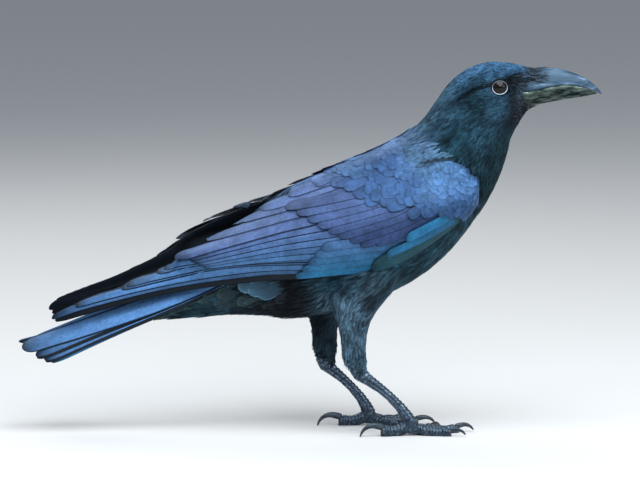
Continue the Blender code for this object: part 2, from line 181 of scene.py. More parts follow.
skin = joined_copy("skin", FLESH, puffed=SKIN_PUFF, plugs=("eye_right", "eye_left"))
remeshed(skin, SKIN_GRAIN, 8)
spots = read(skin.data) / MM
outward = even_normals(skin.data, 6)
from_face = np.hypot(spots[:, 0] - FACE_CENTRE[0], spots[:, 2] - FACE_CENTRE[1])
depth = COAT_ON_FACE + (COAT_ON_BODY - COAT_ON_FACE) * eased(28, 70, from_face)
depth += (COAT_ON_LEG - depth) * eased(100, 72, spots[:, 2]) * (np.abs(spots[:, 0] - 32) < 60)
depth += sum(deep * np.exp(-((off_line(spots, line) / FOLD_WIDTH) ** 2)) for _, deep, line in FOLDS)
depth += sum(deep * np.exp(-((off_line(spots, line) / wide) ** 2)) for deep, wide, line in HOLLOWS)
spots = spots - outward * (depth + SKIN_PUFF)[:, None]
# the face narrows to the width of the bill where the two meet
spots[:, 1] *= 1 - 0.5 * eased(164, 170.5, spots[:, 0]) * eased(284, 279, spots[:, 2])
moved(skin.data, spots * MM)
bpy.context.view_layer.objects.active = skin
skin.select_set(True)
bpy.ops.object.mode_set(mode="EDIT")
bpy.ops.mesh.select_all(action="SELECT")
bpy.ops.uv.smart_project(angle_limit=math.radians(66), island_margin=0.004)
bpy.ops.object.mode_set(mode="OBJECT")
skin.select_set(False)
skin.data.uv_layers[0].name = "OFBake"
skin_outward = even_normals(skin.data, 10)
give(skin.data, "outward", skin_outward)

# The plumage's colours by where they sit on the bird, each with how the feathers lie there: the place in
# the bird's side view, the way their tips point (0 is forwards and 90 up), their length, width and
# spacing, how far their tips stand off, and the dye.
# The blues in these dyes are the black plumage's gloss of the sky, painted in as sheen, so they stay blue
# from every side.
SOOT = (0.005, 0.005, 0.005)
DEEP_TEAL = (0.010, 0.032, 0.044)
TEAL = (0.014, 0.052, 0.076)
SLATE = (0.028, 0.080, 0.130)
HAZE = (0.046, 0.112, 0.172)
STEEL = (0.072, 0.200, 0.375)
COBALT = (0.074, 0.146, 0.312)
DOVE = (0.092, 0.172, 0.245)
LIE_OF_THE_COAT = {
    "forehead": ((171, 292), 158, 3.4, 1.1, 0.97, 0.17, STEEL),
    "crown": ((150, 297), 182, 4.9, 1.4, 1.15, 0.19, STEEL),
    "back of the crown": ((128, 292), 206, 6.1, 1.6, 1.30, 0.21, STEEL),
    "nape": ((107, 272), 230, 7.6, 1.9, 1.51, 0.30, HAZE),
    "back of the neck": ((94, 255), 224, 8.5, 1.9, 1.40, 0.34, HAZE),
    "lores": ((166, 282), 176, 3.2, 0.8, 0.86, 0.26, SOOT),
    "before the eye": ((161, 282), 178, 3.2, 0.8, 0.86, 0.26, SOOT),
    "front of the brow": ((163, 291), 172, 3.4, 1.0, 0.97, 0.18, STEEL),
    "brow": ((153, 291), 186, 3.6, 1.0, 0.97, 0.19, STEEL),
    "behind the eye": ((139, 280), 196, 4.6, 1.2, 1.08, 0.21, SLATE),
    "ear": ((135, 267), 208, 5.3, 1.3, 1.19, 0.26, TEAL),
    "cheek": ((150, 265), 204, 4.6, 1.2, 1.08, 0.21, SLATE),
    "gape": ((169, 266), 205, 3.6, 0.9, 0.94, 0.26, SOOT),
    "chin": ((170, 257), 232, 5.3, 1.1, 1.15, 0.42, SOOT),
    "throat": ((157, 238), 244, 8.1, 1.3, 1.23, 0.60, DEEP_TEAL),
    "fore neck": ((149, 210), 250, 10.6, 1.8, 1.51, 0.68, DEEP_TEAL),
    "side of the neck": ((122, 236), 232, 8.5, 1.7, 1.34, 0.38, TEAL),
    "foot of the neck": ((106, 220), 218, 10.2, 2.2, 1.62, 0.45, TEAL),
    "upper breast": ((137, 188), 240, 12.3, 2.5, 1.85, 0.60, TEAL),
    "breast": ((120, 160), 226, 14.0, 2.9, 2.07, 0.60, TEAL),
    "lower breast": ((92, 132), 210, 15.3, 3.0, 2.18, 0.68, TEAL),
    "belly": ((56, 112), 196, 15.3, 2.6, 2.13, 0.90, SOOT),
    "flank": ((30, 128), 190, 18.7, 3.4, 2.41, 0.75, TEAL),
    "vent": ((-6, 98), 192, 14.4, 2.0, 2.02, 1.50, SOOT),
    "behind the flank": ((-6, 113), 194, 14.4, 2.0, 2.02, 1.50, SOOT),
    "above the vent": ((-16, 123), 194, 14.4, 2.4, 2.2, 0.9, SOOT),
    "mantle": ((80, 236), 203, 9.9, 4.5, 2.70, 0.54, COBALT),
    "back": ((30, 218), 204, 14.4, 6.1, 3.60, 0.54, COBALT),
    "rump": ((-48, 176), 217, 18.9, 7.2, 4.50, 0.63, SLATE),
    "upper tail coverts": ((-86, 142), 214, 25.2, 8.0, 5.25, 0.54, SLATE),
    "under tail coverts": ((-84, 96), 184, 25.2, 7.2, 4.95, 0.72, DEEP_TEAL),
    "front of the thigh": ((58, 110), 262, 11.9, 2.4, 1.74, 0.60, DOVE),
    "back of the thigh": ((30, 110), 262, 11.9, 2.4, 1.74, 0.90, DOVE),
    "lower thigh": ((34, 86), 268, 9.1, 1.8, 1.25, 0.9, DOVE),
    "garter": ((34, 64), 274, 7.0, 1.2, 0.95, 0.9, DOVE),
}


def plumage_at(places, table):
    """The lie, sizes and dye of the feathers at places on the body, between the nearest in a table."""
    rows = list(table.values())
    marks = np.array([row[0] for row in rows])
    far = ((places[:, None, [0, 2]] - marks[None]) ** 2).sum(-1)
    weight = 1 / (far + 9) ** 1.7
    weight /= weight.sum(1, keepdims=True)
    turn = np.radians([row[1] for row in rows])
    way = np.stack([np.cos(turn), 0 * turn, np.sin(turn)], 1)
    sizes = weight @ np.array([row[2:6] for row in rows])
    dyes = weight @ np.array([row[6] for row in rows])
    # painted shade: the dyes darkened near each fold, most on its line
    for width, _, line in FOLDS:
        dyes = dyes * (1 - 0.85 * eased(width, 0.4 * width, off_line(places, line)))[:, None]
    return unit(weight @ way), sizes, dyes


def as_colour(dyes, shade=1.0):
    """Dyes with the fourth channel that a colour attribute holds."""
    return np.hstack([np.clip(dyes * shade, 0, 1), np.ones((len(dyes), 1))])


spots = read(skin.data) / MM
give(skin.data, "tint", as_colour(plumage_at(spots, LIE_OF_THE_COAT)[2], 0.5), "FLOAT_COLOR")

# Feather and skin are one dark stuff whose blue is a gloss, here painted into the dye as sheen: the dye is a
# tint on each feather, darker towards its edge and root by painted shade, combed by barbs that run out from
# the shaft.


def take(tree, node, **values):
    """Sets a node's named inputs, or links them where the value is another node's socket."""
    for key, value in values.items():
        socket = node.inputs[key.replace("_", " ")]
        if isinstance(value, bpy.types.NodeSocket):
            tree.links.new(value, socket)
        else:
            socket.default_value = value
    return node


def added(tree, kind, **values):
    """A new node in a tree, with what its named inputs take."""
    return take(tree, tree.nodes.new(kind), **values)


def maths(tree, kind, *values, clamp=False):
    """A sum in a node tree: each value is a number or the socket that it comes from."""
    node = tree.nodes.new("ShaderNodeMath")
    node.operation, node.use_clamp = kind, clamp
    for socket, value in zip(node.inputs, values):
        if isinstance(value, (int, float)):
            socket.default_value = value
        else:
            tree.links.new(value, socket)
    return node.outputs[0]


def new_finish(name):
    """A material, its tree of nodes, its shader and the places of its spots on the piece."""
    finish = bpy.data.materials.new(name)
    finish.use_nodes = True
    tree = finish.node_tree
    spots = tree.nodes.new("ShaderNodeTexCoord").outputs["Object"]
    return finish, tree, tree.nodes["Principled BSDF"], spots


def attribute(tree, name):
    node = tree.nodes.new("ShaderNodeAttribute")
    node.attribute_name = name
    return node.outputs


def noise(tree, spots, scale, detail=2):
    return added(tree, "ShaderNodeTexNoise", Vector=spots, Scale=scale, Detail=detail).outputs["Fac"]


def bumped(tree, shader, height, strength, distance):
    """Relief on a shader, from a height of so many mm."""
    bump = added(tree, "ShaderNodeBump", Height=height, Strength=strength, Distance=distance * MM)
    take(tree, shader, Normal=bump.outputs["Normal"])


def shader_group(name, takes, gives):
    """An empty group of shader nodes, with the sockets that it takes and gives."""
    tree = bpy.data.node_groups.new(name, "ShaderNodeTree")
    for socket in takes:
        tree.interface.new_socket(socket, in_out="INPUT", socket_type="NodeSocketFloat")
    for socket in gives:
        tree.interface.new_socket(socket, in_out="OUTPUT", socket_type="NodeSocketFloat")
    return tree, tree.nodes.new("NodeGroupInput").outputs, tree.nodes.new("NodeGroupOutput").inputs


def vane_marks_group():
    """Masks on one feather, from how far along and across it a spot lies: its barbs, edge and shaft."""
    tree, given, result = shader_group(
        "vane_marks", ("Along", "Across", "Barbs", "Slant", "Edge Width"), ("Barb", "Edge", "Shaft")
    )
    from_shaft = maths(tree, "ABSOLUTE", maths(tree, "MULTIPLY_ADD", given["Across"], 2.0, -1.0))
    run = maths(tree, "SUBTRACT", given["Along"], maths(tree, "MULTIPLY", from_shaft, given["Slant"]))
    wave = maths(tree, "SINE", maths(tree, "MULTIPLY", run, given["Barbs"]))
    tree.links.new(maths(tree, "MULTIPLY_ADD", wave, 0.5, 0.5), result["Barb"])
    in_edge = maths(tree, "SUBTRACT", from_shaft, maths(tree, "SUBTRACT", 1.0, given["Edge Width"]))
    half_edge = maths(tree, "MULTIPLY", given["Edge Width"], 0.5)
    side_edge = maths(tree, "DIVIDE", in_edge, half_edge, clamp=True)
    tip_edge = maths(tree, "POWER", given["Along"], 16.0)
    tree.links.new(maths(tree, "MAXIMUM", side_edge, tip_edge), result["Edge"])
    far_off = maths(tree, "MULTIPLY", from_shaft, 11.0)
    tree.links.new(maths(tree, "SUBTRACT", 1.0, far_off, clamp=True), result["Shaft"])
    return tree


def multiplied(tree, colour, factor):
    """A colour made lighter or darker by a factor, both of them sockets."""
    node = tree.nodes.new("ShaderNodeMix")
    node.data_type, node.blend_type = "RGBA", "MULTIPLY"
    node.inputs[0].default_value = 1
    tree.links.new(colour, node.inputs[6])
    tree.links.new(factor, node.inputs[7])
    return node.outputs[2]


vane_marks = vane_marks_group()


def dressed(
    name, barbs, slant, edge_width, edge_shade, barb_dark, shaft, roughness, metallic, relief,
    sheen=0.1, patchy=0.3, gloss=0.35, from_root=(0.35, 0.72),
):
    """A plumage finish: each feather's own tint under its vane's marks and painted shade, mottled finely and
    in patches.
    """
    finish, tree, shader, spots = new_finish(name)
    parted = added(tree, "ShaderNodeSeparateXYZ", Vector=attribute(tree, "spot")["Vector"])
    along, across, _ = parted.outputs
    marks = tree.nodes.new("ShaderNodeGroup")
    marks.node_tree = vane_marks
    take(tree, marks, Along=along, Across=across, Barbs=barbs, Slant=slant, Edge_Width=edge_width)
    barb, edge, midrib = marks.outputs
    # painted shade: each vane darker at its edges and tip, in the gaps under the next feather; a negative
    # edge shade paints a paler rim
    light = maths(tree, "MULTIPLY_ADD", edge, -edge_shade, 1.0)
    light = maths(tree, "MULTIPLY_ADD", barb, -barb_dark, light)
    light = maths(tree, "MAXIMUM", maths(tree, "MULTIPLY_ADD", midrib, shaft, light), 0.02)
    mottled = maths(tree, "MULTIPLY_ADD", noise(tree, spots, 380, 3), 0.9, 0.55)
    patches = maths(tree, "MULTIPLY_ADD", noise(tree, spots, 75), 2 * patchy, 1 - patchy)
    mottled = maths(tree, "MULTIPLY", mottled, patches)
    # painted shade along each feather, by default darker at the root where the feather above overlaps it
    shade_root_to_tip = maths(tree, "MULTIPLY_ADD", along, *from_root)
    light = maths(tree, "MULTIPLY", maths(tree, "MULTIPLY", light, mottled), shade_root_to_tip)
    take(
        tree, shader, Base_Color=multiplied(tree, attribute(tree, "tint")["Color"], light),
        Roughness=maths(tree, "MULTIPLY_ADD", barb, 0.12, roughness), Metallic=metallic,
        Specular_IOR_Level=gloss, Specular_Tint=(0.55, 0.78, 1.0, 1.0),
        Sheen_Weight=sheen, Sheen_Roughness=0.4, Sheen_Tint=(0.45, 0.62, 1.0, 1.0),
    )
    bumped(tree, shader, barb, relief, 0.25)
    return finish


body_plumage = dressed("body_plumage", 46, 0.5, 0.35, 0.34, 0.4, 0.0, 0.5, 0.3, 0.7, 0.0, 1.5, 0.2)
skin_finish = dressed("skin_under_feathers", 1, 0, 0.3, 0, 0, 0, 0.6, 0.0, 0.2)
skin.data.materials.append(skin_finish)
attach(skin, "root")
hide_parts(*FLESH)

# --- the coat -------------------------------------------------------------------------------------
# Small body feathers, each a thin closed vane rooted in the skin. They grow in staggered rows, lie back
# along the body and cover the roots of those behind them, and they are smallest round bill and eyes.
EYE_SHIFT = Vector((-1.6, 0, -1.4))
EYES = {side: sum(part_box("eye_" + side), Vector()) / 2 / MM + EYE_SHIFT for side in ("right", "left")}
EYE_OPENING = 7.7
BILL_BASE_X = 169.5
PATCH = 0.003
SHARP_ABOVE = 80
rng = np.random.default_rng(7)


def feather_form(name, stations, widths, tips, crown):
    """A feather one unit long and one wide: crowned above, closed below, its tip cut to so many ends."""
    columns = np.linspace(-1, 1, len(tips))
    shape = bmesh.new()
    rise, crowned = (shape.verts.layers.float.new(key) for key in ("rise", "crown"))
    spot = shape.verts.layers.float_vector.new("spot")
    rows = []
    for share, width in zip(stations, widths):
        row = []
        for across, tip in zip(columns, tips):
            corner = shape.verts.new((share * tip, across * width / 2, 0))
            corner[rise] = share**0.8
            corner[crowned] = crown * (1 - across**2) * min(1, 4 * share + 0.2)
            corner[spot] = (share, 0.5 + across / 2, 0)
            row.append(corner)
        rows.append(row)
    for near, far in zip(rows, rows[1:]):
        for i in range(len(columns) - 1):
            shape.faces.new((near[i], near[i + 1], far[i + 1], far[i])).smooth = True
        shape.faces.new((near[-1], near[0], far[0], far[-1])).smooth = True
    shape.faces.new(rows[0])
    shape.faces.new(rows[-1])
    mesh = as_mesh(name, shape)
    mesh.set_sharp_from_angle(angle=math.radians(SHARP_ABOVE))
    return bpy.data.objects.new(name, mesh)


SLEEK = feather_form("sleek", (0, 0.3, 0.62, 0.86, 1), (0.35, 0.85, 1, 0.72, 0.12), (1, 1, 1), 0.07)
LOOSE = feather_form("loose", (0, 0.35, 0.7, 1), (0.4, 1, 0.9, 0.25), (0.92, 1, 0.85), 0.06)
SCALE = feather_form("scale", (0, 0.35, 0.7, 0.9, 1), (0.4, 0.9, 1, 0.8, 0.3), (1, 1, 1), 0.03)
ROUND = feather_form(
    "round", (0, 0.2, 0.45, 0.7, 0.86, 0.96, 1), (0.5, 0.85, 1, 0.98, 0.8, 0.45, 0.12), (1,) * 5, 0.03
)
WISP = feather_form("wisp", (0, 0.35, 0.7, 1), (0.5, 0.6, 0.4, 0.08), (1, 1, 1), 0.3)


def named(tree, name, kind="FLOAT"):
    """What a tree of geometry reads from an attribute."""
    node = added(tree, "GeometryNodeInputNamedAttribute", Name=name)
    node.data_type = kind
    return node.outputs["Attribute"]


def coat_tree():
    """Sets one feather on each root, lays it along the skin and gives it its place on the skin's map."""
    tree = bpy.data.node_groups.new("coat_of_feathers", "GeometryNodeTree")
    for name, kind in {
        "Roots": "Geometry", "Skin": "Object", "Feather": "Object", "Finish": "Material", "Patch": "Float",
    }.items():
        tree.interface.new_socket(name, in_out="INPUT", socket_type="NodeSocket" + kind)
    tree.interface.new_socket("Coat", in_out="OUTPUT", socket_type="NodeSocketGeometry")
    given = tree.nodes.new("NodeGroupInput").outputs
    result = tree.nodes.new("NodeGroupOutput").inputs

    def vector_sum(kind, first, second):
        node = tree.nodes.new("ShaderNodeVectorMath")
        node.operation = kind
        tree.links.new(first, node.inputs[0])
        tree.links.new(second, node.inputs["Scale" if kind == "SCALE" else 1])
        return node.outputs[0]

    turn = tree.nodes.new("FunctionNodeAxesToRotation")
    turn.primary_axis, turn.secondary_axis = "Z", "X"
    tree.links.new(named(tree, "up", "FLOAT_VECTOR"), turn.inputs[0])
    tree.links.new(named(tree, "lie", "FLOAT_VECTOR"), turn.inputs[1])
    size = added(tree, "ShaderNodeCombineXYZ", X=named(tree, "long"), Y=named(tree, "wide"), Z=1)
    feather = added(tree, "GeometryNodeObjectInfo", Object=given["Feather"]).outputs["Geometry"]
    grown = added(
        tree, "GeometryNodeInstanceOnPoints", Points=given["Roots"], Instance=feather,
        Rotation=turn.outputs[0], Scale=size.outputs[0],
    )
    coat = added(tree, "GeometryNodeRealizeInstances", Geometry=grown.outputs["Instances"])
    skin_shape = added(tree, "GeometryNodeObjectInfo", Object=given["Skin"]).outputs["Geometry"]
    spot = tree.nodes.new("GeometryNodeInputPosition").outputs[0]
    found = []
    for value in (spot, named(tree, "outward", "FLOAT_VECTOR")):
        sample = tree.nodes.new("GeometryNodeSampleNearestSurface")
        sample.data_type = "FLOAT_VECTOR"
        take(tree, sample, Mesh=skin_shape, Value=value, Sample_Position=spot)
        found.append(sample.outputs["Value"])
    lifted = maths(tree, "MULTIPLY", named(tree, "rise"), named(tree, "lift"))
    height = maths(tree, "MULTIPLY_ADD", named(tree, "crown"), named(tree, "wide"), lifted)
    place = vector_sum("ADD", found[0], vector_sum("SCALE", found[1], height))
    laid = added(tree, "GeometryNodeSetPosition", Geometry=coat.outputs[0], Position=place)
    half = added(tree, "ShaderNodeCombineXYZ", X=0.5, Y=0.5)
    patch = vector_sum("SUBTRACT", named(tree, "spot", "FLOAT_VECTOR"), half.outputs[0])
    patch = vector_sum("SCALE", patch, given["Patch"])
    mapped = added(tree, "GeometryNodeStoreNamedAttribute", Geometry=laid.outputs[0], Name="OFBake")
    mapped.data_type, mapped.domain = "FLOAT2", "CORNER"
    take(tree, mapped, Value=vector_sum("ADD", patch, named(tree, "root_spots", "FLOAT_VECTOR")))
    done = added(tree, "GeometryNodeSetMaterial", Geometry=mapped.outputs[0], Material=given["Finish"])
    tree.links.new(done.outputs[0], result[0])
    return tree


coat_of_feathers = coat_tree()


def scattered(mesh, count, spacing_at, allowed):
    """Places spread over a mesh, no two nearer than their spacing, with their faces. All in mm."""
    mesh.calc_loop_triangles()
    corners = read(mesh) / MM
    triangles = read(mesh, "loop_triangles", "vertices", 3).astype(int)
    a, b, c = (corners[triangles[:, i]] for i in range(3))
    size = np.linalg.norm(np.cross(b - a, c - a), axis=1)
    chosen = rng.choice(len(triangles), count, p=size / size.sum())
    u, v = rng.random((2, count))
    over = u + v > 1
    u[over], v[over] = 1 - u[over], 1 - v[over]
    shares = np.stack([1 - u - v, u, v], 1)
    places = (corners[triangles[chosen]] * shares[..., None]).sum(1)
    good = allowed(places, chosen)
    places, chosen, shares = places[good], chosen[good], shares[good]
    spacing = spacing_at(places)
    cell = spacing.max()
    filled, kept = {}, []
    for i, (place, gap) in enumerate(zip(places.tolist(), spacing.tolist())):
        key = tuple(int(v // cell) for v in place)
        near = [
            other
            for x in (-1, 0, 1) for y in (-1, 0, 1) for z in (-1, 0, 1)
            for other in filled.get((key[0] + x, key[1] + y, key[2] + z), ())
        ]
        a, b, c = place
        if all((a - p[0]) ** 2 + (b - p[1]) ** 2 + (c - p[2]) ** 2 > gap * gap for p in near):
            filled.setdefault(key, []).append(place)
            kept.append(i)
    return places[kept], chosen[kept], shares[kept]


def rooted(ground, table, count, allowed, waver=0.13):
    """Roots spread over a mapped piece, each with the lie, sizes (in mm) and dye of its feather."""
    mesh = ground.data
    places, triangles, shares = scattered(mesh, count, lambda p: plumage_at(p, table)[1][:, 2], allowed)
    corners = read(mesh, "loop_triangles", "vertices", 3).astype(int)[triangles]
    loops = read(mesh, "loop_triangles", "loops", 3).astype(int)[triangles]
    outward = read(mesh.attributes["outward"], "data", "vector")
    up = unit((outward[corners] * shares[..., None]).sum(1))
    spots = read(mesh.uv_layers["OFBake"], "data", "uv", 2)
    root_spots = np.zeros((len(places), 3))
    root_spots[:, :2] = (spots[loops] * shares[..., None]).sum(1)
    way, sizes, dyes = plumage_at(places, table)
    way += waver * rng.standard_normal(way.shape)
    lie = unit(way - up * (way * up).sum(1, keepdims=True))
    return {"places": places, "up": up, "lie": lie, "sizes": sizes, "dyes": dyes, "root_spots": root_spots}


def coated(name, feather, finish, ground, roots, mine=slice(None), uneven=0.22, ragged=0.3):
    """A coat piece: one feather at each of the chosen roots, laid on its ground.

    They are uneven in tone and ragged in length, each by a share of the whole.
    """
    roots = {key: values[mine] for key, values in roots.items()}
    count = len(roots["places"])
    points = bpy.data.meshes.new(name)
    points.from_pydata((roots["places"] * MM).tolist(), [], [])
    for key in ("up", "lie", "root_spots"):
        give(points, key, roots[key])
    long, wide, _, lift = (roots["sizes"] * MM).T
    give(points, "long", long * (1 + ragged * (rng.random(count) - 0.5)), "FLOAT")
    give(points, "wide", wide, "FLOAT")
    give(points, "lift", lift * (0.6 + 0.8 * rng.random(count)), "FLOAT")
    tones = 1 - uneven + 2 * uneven * rng.random((count, 1))
    give(points, "tint", as_colour(roots["dyes"] * tones), "FLOAT_COLOR")
    piece = placed(name, points)
    coat = piece.modifiers.new("coat", "NODES")
    coat.node_group = coat_of_feathers
    inputs = {"Skin": ground, "Feather": feather, "Finish": finish, "Patch": PATCH}
    for item in coat_of_feathers.interface.items_tree:
        if item.item_type == "SOCKET" and item.in_out == "INPUT" and item.name in inputs:
            coat[item.identifier] = inputs[item.name]
    made_plain(piece)
    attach(piece, "root")
    return piece


def solid_faces(nodes):
    """The faces of solids, in mm, to measure their surface."""
    piece = joined_copy("measured", nodes)
    faces = BVHTree.FromPolygons(
        (read(piece.data) / MM).tolist(), [list(f.vertices) for f in piece.data.polygons]
    )
    bpy.data.objects.remove(piece)
    return faces


wing_faces = solid_faces([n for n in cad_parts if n.startswith("wing_")])
skin.data.calc_loop_triangles()
skin_triangles = read(skin.data, "loop_triangles", "vertices", 3).astype(int)
TAIL_EDGE_X, TAIL_EDGE_Z = [-134, -50], [85, 119]  # where the lowest tail feather leaves the body
FAR_LEG_SHADE = 0.3  # painted shade on the left leg's feathers, as on the left wing


def clear_of_eyes(places, reach):
    """Whether places lie further than so many mm from the middle of either eye."""
    return np.all([np.linalg.norm(places - np.array(eye), axis=1) > reach for eye in EYES.values()], axis=0)


def can_grow(places, triangles):
    """Not under a wing or the tail, nor over an eye, nor inside the base of the bill."""
    up = skin_outward[skin_triangles[triangles, 0]]
    good = clear_of_eyes(places, EYE_OPENING)
    good &= ~((places[:, 0] > 172) & (up[:, 0] > 0.75))
    good &= ~((places[:, 0] > BILL_BASE_X) & (places[:, 2] > 260) & (places[:, 2] < 280))
    # nor under the first of the broad feathers below the tail
    good &= ~((np.abs(places[:, 0] + 18) < 9) & (np.abs(places[:, 2] - 118) < 9))
    way, sizes, _ = plumage_at(places, LIE_OF_THE_COAT)
    for spot in (places, places + way * sizes[:, :1]):
        edge = np.interp(spot[:, 0], TAIL_EDGE_X, TAIL_EDGE_Z)
        good &= ~((spot[:, 0] < -50) & (spot[:, 2] > edge) & (places[:, 2] < 138))
    for i in np.nonzero(good & (np.abs(up[:, 1]) > 0.2) & (places[:, 0] < 131))[0]:
        start = Vector(places[i]) + Vector(up[i]) * 0.1
        room = 5 if places[i][0] > 92 else 20
        good[i] = wing_faces.ray_cast(start, Vector(up[i]), room)[0] is None
    return good


roots = rooted(skin, LIE_OF_THE_COAT, 400000, can_grow)
forward, leftward, high = roots["places"].T
# painted shade: the feathers low on the left side, over thigh and leg, darkened
roots["dyes"][(leftward > 0) & (high < 106)] *= FAR_LEG_SHADE
left_over = np.ones(len(high), bool)
forward = forward + 9 * rng.standard_normal(len(high))
for name, form, inside, uneven in (
    ("coat_head", SLEEK, (high > 240) & (forward > 118), 0.6),
    ("coat_neck", LOOSE, (high > 196) & (forward > 88), 0.6),
    ("coat_breast", LOOSE, (forward > 62) & (high < 200), 0.6),
    ("coat_back", SLEEK, high > 150, 0.6),
    ("coat_belly", LOOSE, (high > 88) | (forward < -20), 0.6),
    ("coat_thighs", SLEEK, left_over, 0.42),
):
    coated(name, form, body_plumage, skin, roots, inside & left_over, uneven=uneven, ragged=0.5)
    left_over &= ~inside

# Under the base of the tail a few broad feathers stand out by themselves: root x and z, the way the tip
# points, length, width, height of the tip, and dye. They are the same on both sides.
PALE_TEAL, BOTTLE = (0.034, 0.082, 0.125), (0.016, 0.032, 0.034)
UNDER_TAIL = [
    (-20, 121, 212, 22, 13, 1.6, PALE_TEAL), (-29, 122, 206, 22, 14, 1.8, PALE_TEAL),
    (-38, 124, 204, 22, 13, 1.6, PALE_TEAL), (-34, 112, 206, 24, 12, 1.4, BOTTLE),
    (-30, 106, 190, 24, 13, 1.2, BOTTLE), (-50, 116, 196, 28, 11, 1.0, BOTTLE),
    (-46, 107, 190, 32, 11, 0.9, BOTTLE), (-62, 114, 200, 32, 10, 0.8, BOTTLE),
    (-62, 105, 192, 34, 10, 0.7, BOTTLE), (-80, 110, 202, 34, 9, 0.6, BOTTLE),
    (-80, 102, 194, 36, 9, 0.6, BOTTLE), (-94, 103, 200, 34, 8, 0.5, BOTTLE),
    (-12, 112, 205, 18, 10, 1.6, SOOT), (-16, 104, 195, 20, 10, 1.6, SOOT),
]
skin_faces = BVHTree.FromPolygons((read(skin.data) / MM).tolist(), skin_triangles.tolist())
skin_corners = read(skin.data.uv_layers["OFBake"], "data", "uv", 2)[
    read(skin.data, "loop_triangles", "loops", 3).astype(int)
].mean(1)
found = []
for x, z, turn, long, wide, lift, dye in UNDER_TAIL:
    for side in (-1, 1):
        place, up, face, _ = skin_faces.ray_cast(Vector((x, 60 * side, z)), Vector((0, -side, 0)))
        way = Vector((math.cos(math.radians(turn)), 0, math.sin(math.radians(turn))))
        up = up * (1 if up.y * side > 0 else -1)
        lie = (way - up * way.dot(up)).normalized()
        found.append((place, up, lie, (long, wide, 0, lift), dye, (*skin_corners[face], 0)))
roots = {key: np.array(values) for key, values in zip(roots, zip(*found))}
# painted shade: these feathers dark at the root, where the ones above overlap them, with a paler rim
rimmed = dressed("rimmed_plumage", 70, 0.4, 0.22, -0.9, 0.2, 0.0, 0.42, 0.35, 0.3, from_root=(1.1, 0.2))
coated("under_tail", ROUND, rimmed, skin, roots)

# --- the folded wings -----------------------------------------------------------------------------
# Each wing is a stack of long vanes closed like a fan, the innermost on top, under rows of coverts that
# overlap like tiles. They are laid on a sheet fitted round the wing and the side of the back: a place on
# it is x and how far it lies above the wing's lower edge, both in mm.
WING_SIDES = {"right": -1, "left": 1}
SHEET_STEP = 3.0
SHEET_BELOW, SHEET_ABOVE = 5, 44
WING_LINE_X = [-210, -160, -110, -64, -38, 10, 62, 107, 134]
WING_LINE_Z = [92, 110, 126, 140, 155, 166, 176, 188, 196]
FREE_WING = (-62, -34)  # behind this the wing lies free of the body
BEND_WRAP = ((0.8, 1.2), (1.1, 3.6), (1.2, 6.8))  # how far on and how far in the sheet wraps round the bend


def section(faces, x, height, side, turns):
    """Where rays from far out towards the bird's middle first meet it, turn by turn from below."""
    hits = []
    for turn in turns:
        out = Vector((0, side * math.cos(turn), math.sin(turn)))
        start = Vector((x, 0, height)) + out * 200
        hits.append(faces.ray_cast(start, -out, 200)[0])
    return hits


def fitted_sheet(lines, rounds=6):
    """Evenly spaced points along each of a row of lines, run on straight past both ends, evened out."""
    rows = []
    for line in lines:
        run = np.concatenate([[0], np.cumsum(np.linalg.norm(np.diff(line, axis=0), axis=1))])
        at = np.arange(-SHEET_BELOW, SHEET_ABOVE) * SHEET_STEP
        row = np.stack([np.interp(at, run, line[:, i]) for i in range(3)], 1)
        reach = min(6, len(line) - 1)
        first, last = unit(line[0] - line[reach]), unit(line[-1] - line[-1 - reach])
        row[at < 0] = line[0] - at[at < 0, None] * first
        row[at > run[-1]] = line[-1] + (at[at > run[-1], None] - run[-1]) * last
        rows.append(row)
    sheet = np.array(rows)
    for _ in range(rounds):
        sheet[1:-1] = (sheet[:-2] + 2 * sheet[1:-1] + sheet[2:]) / 4
        sheet[:, 1:-1] = (sheet[:, :-2] + 2 * sheet[:, 1:-1] + sheet[:, 2:]) / 4
    return sheet


def as_sheet(places, side, start, full, top, near):
    """A sheet's places and outward directions, x of its first row, and how far its rows reach up.

    They reach to the top of the wing alone, or in full over the back. The near side is the bird's right.
    """
    out = unit(np.cross(np.gradient(places, axis=0), np.gradient(places, axis=1)) * -side)
    return {"places": places, "out": out, "x": start, "full": full, "top": top, "near": near}


def wing_sheet(name, side):
    """The sheet over one wing, run on over the side of the back."""
    own = [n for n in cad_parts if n.startswith(f"wing_{name}")]
    wing, all_round = solid_faces(own), solid_faces(own + ["trunk", "neck"])
    turns = np.radians(np.arange(-85, 91, 1.5))
    first = min(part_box(n)[0].x for n in own) / MM + 2.5
    last = max(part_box(n)[1].x for n in own) / MM - 2.5
    xs = np.arange(first, last, SHEET_STEP)
    lines, own_top = [], []
    for x in xs:
        height = np.interp(x, WING_LINE_X, WING_LINE_Z)
        own_hits = section(wing, x, height, side, turns)
        hits = section(all_round, x, height, side, turns)
        on_wing = [i for i, hit in enumerate(own_hits) if hit is not None]
        line = [hits[i] for i in range(on_wing[0], len(turns)) if hits[i] is not None]
        lines.append(np.array([tuple(p) for p in line]))
        own_line = np.array([tuple(own_hits[i]) for i in on_wing])
        own_top.append(np.linalg.norm(np.diff(own_line, axis=0), axis=1).sum())
    sheet = fitted_sheet(lines)
    before = 2 * sheet[0] - sheet[1]
    onward, inward = sheet[-1] - sheet[-2], np.array([0, -side, 0])
    after = [sheet[-1] + onward * reach + inward * drawn for reach, drawn in BEND_WRAP]
    sheet = np.concatenate([[before], sheet, after])
    full = np.array([np.linalg.norm(np.diff(line, axis=0), axis=1).sum() for line in lines])
    full = own_top + (full - own_top) * eased(FREE_WING[0], FREE_WING[1], xs)
    full = np.concatenate([[full[0]], full, full[-1:], full[-1:], full[-1:]])
    return as_sheet(sheet, side, xs[0] - SHEET_STEP, full, own_top, side < 0)


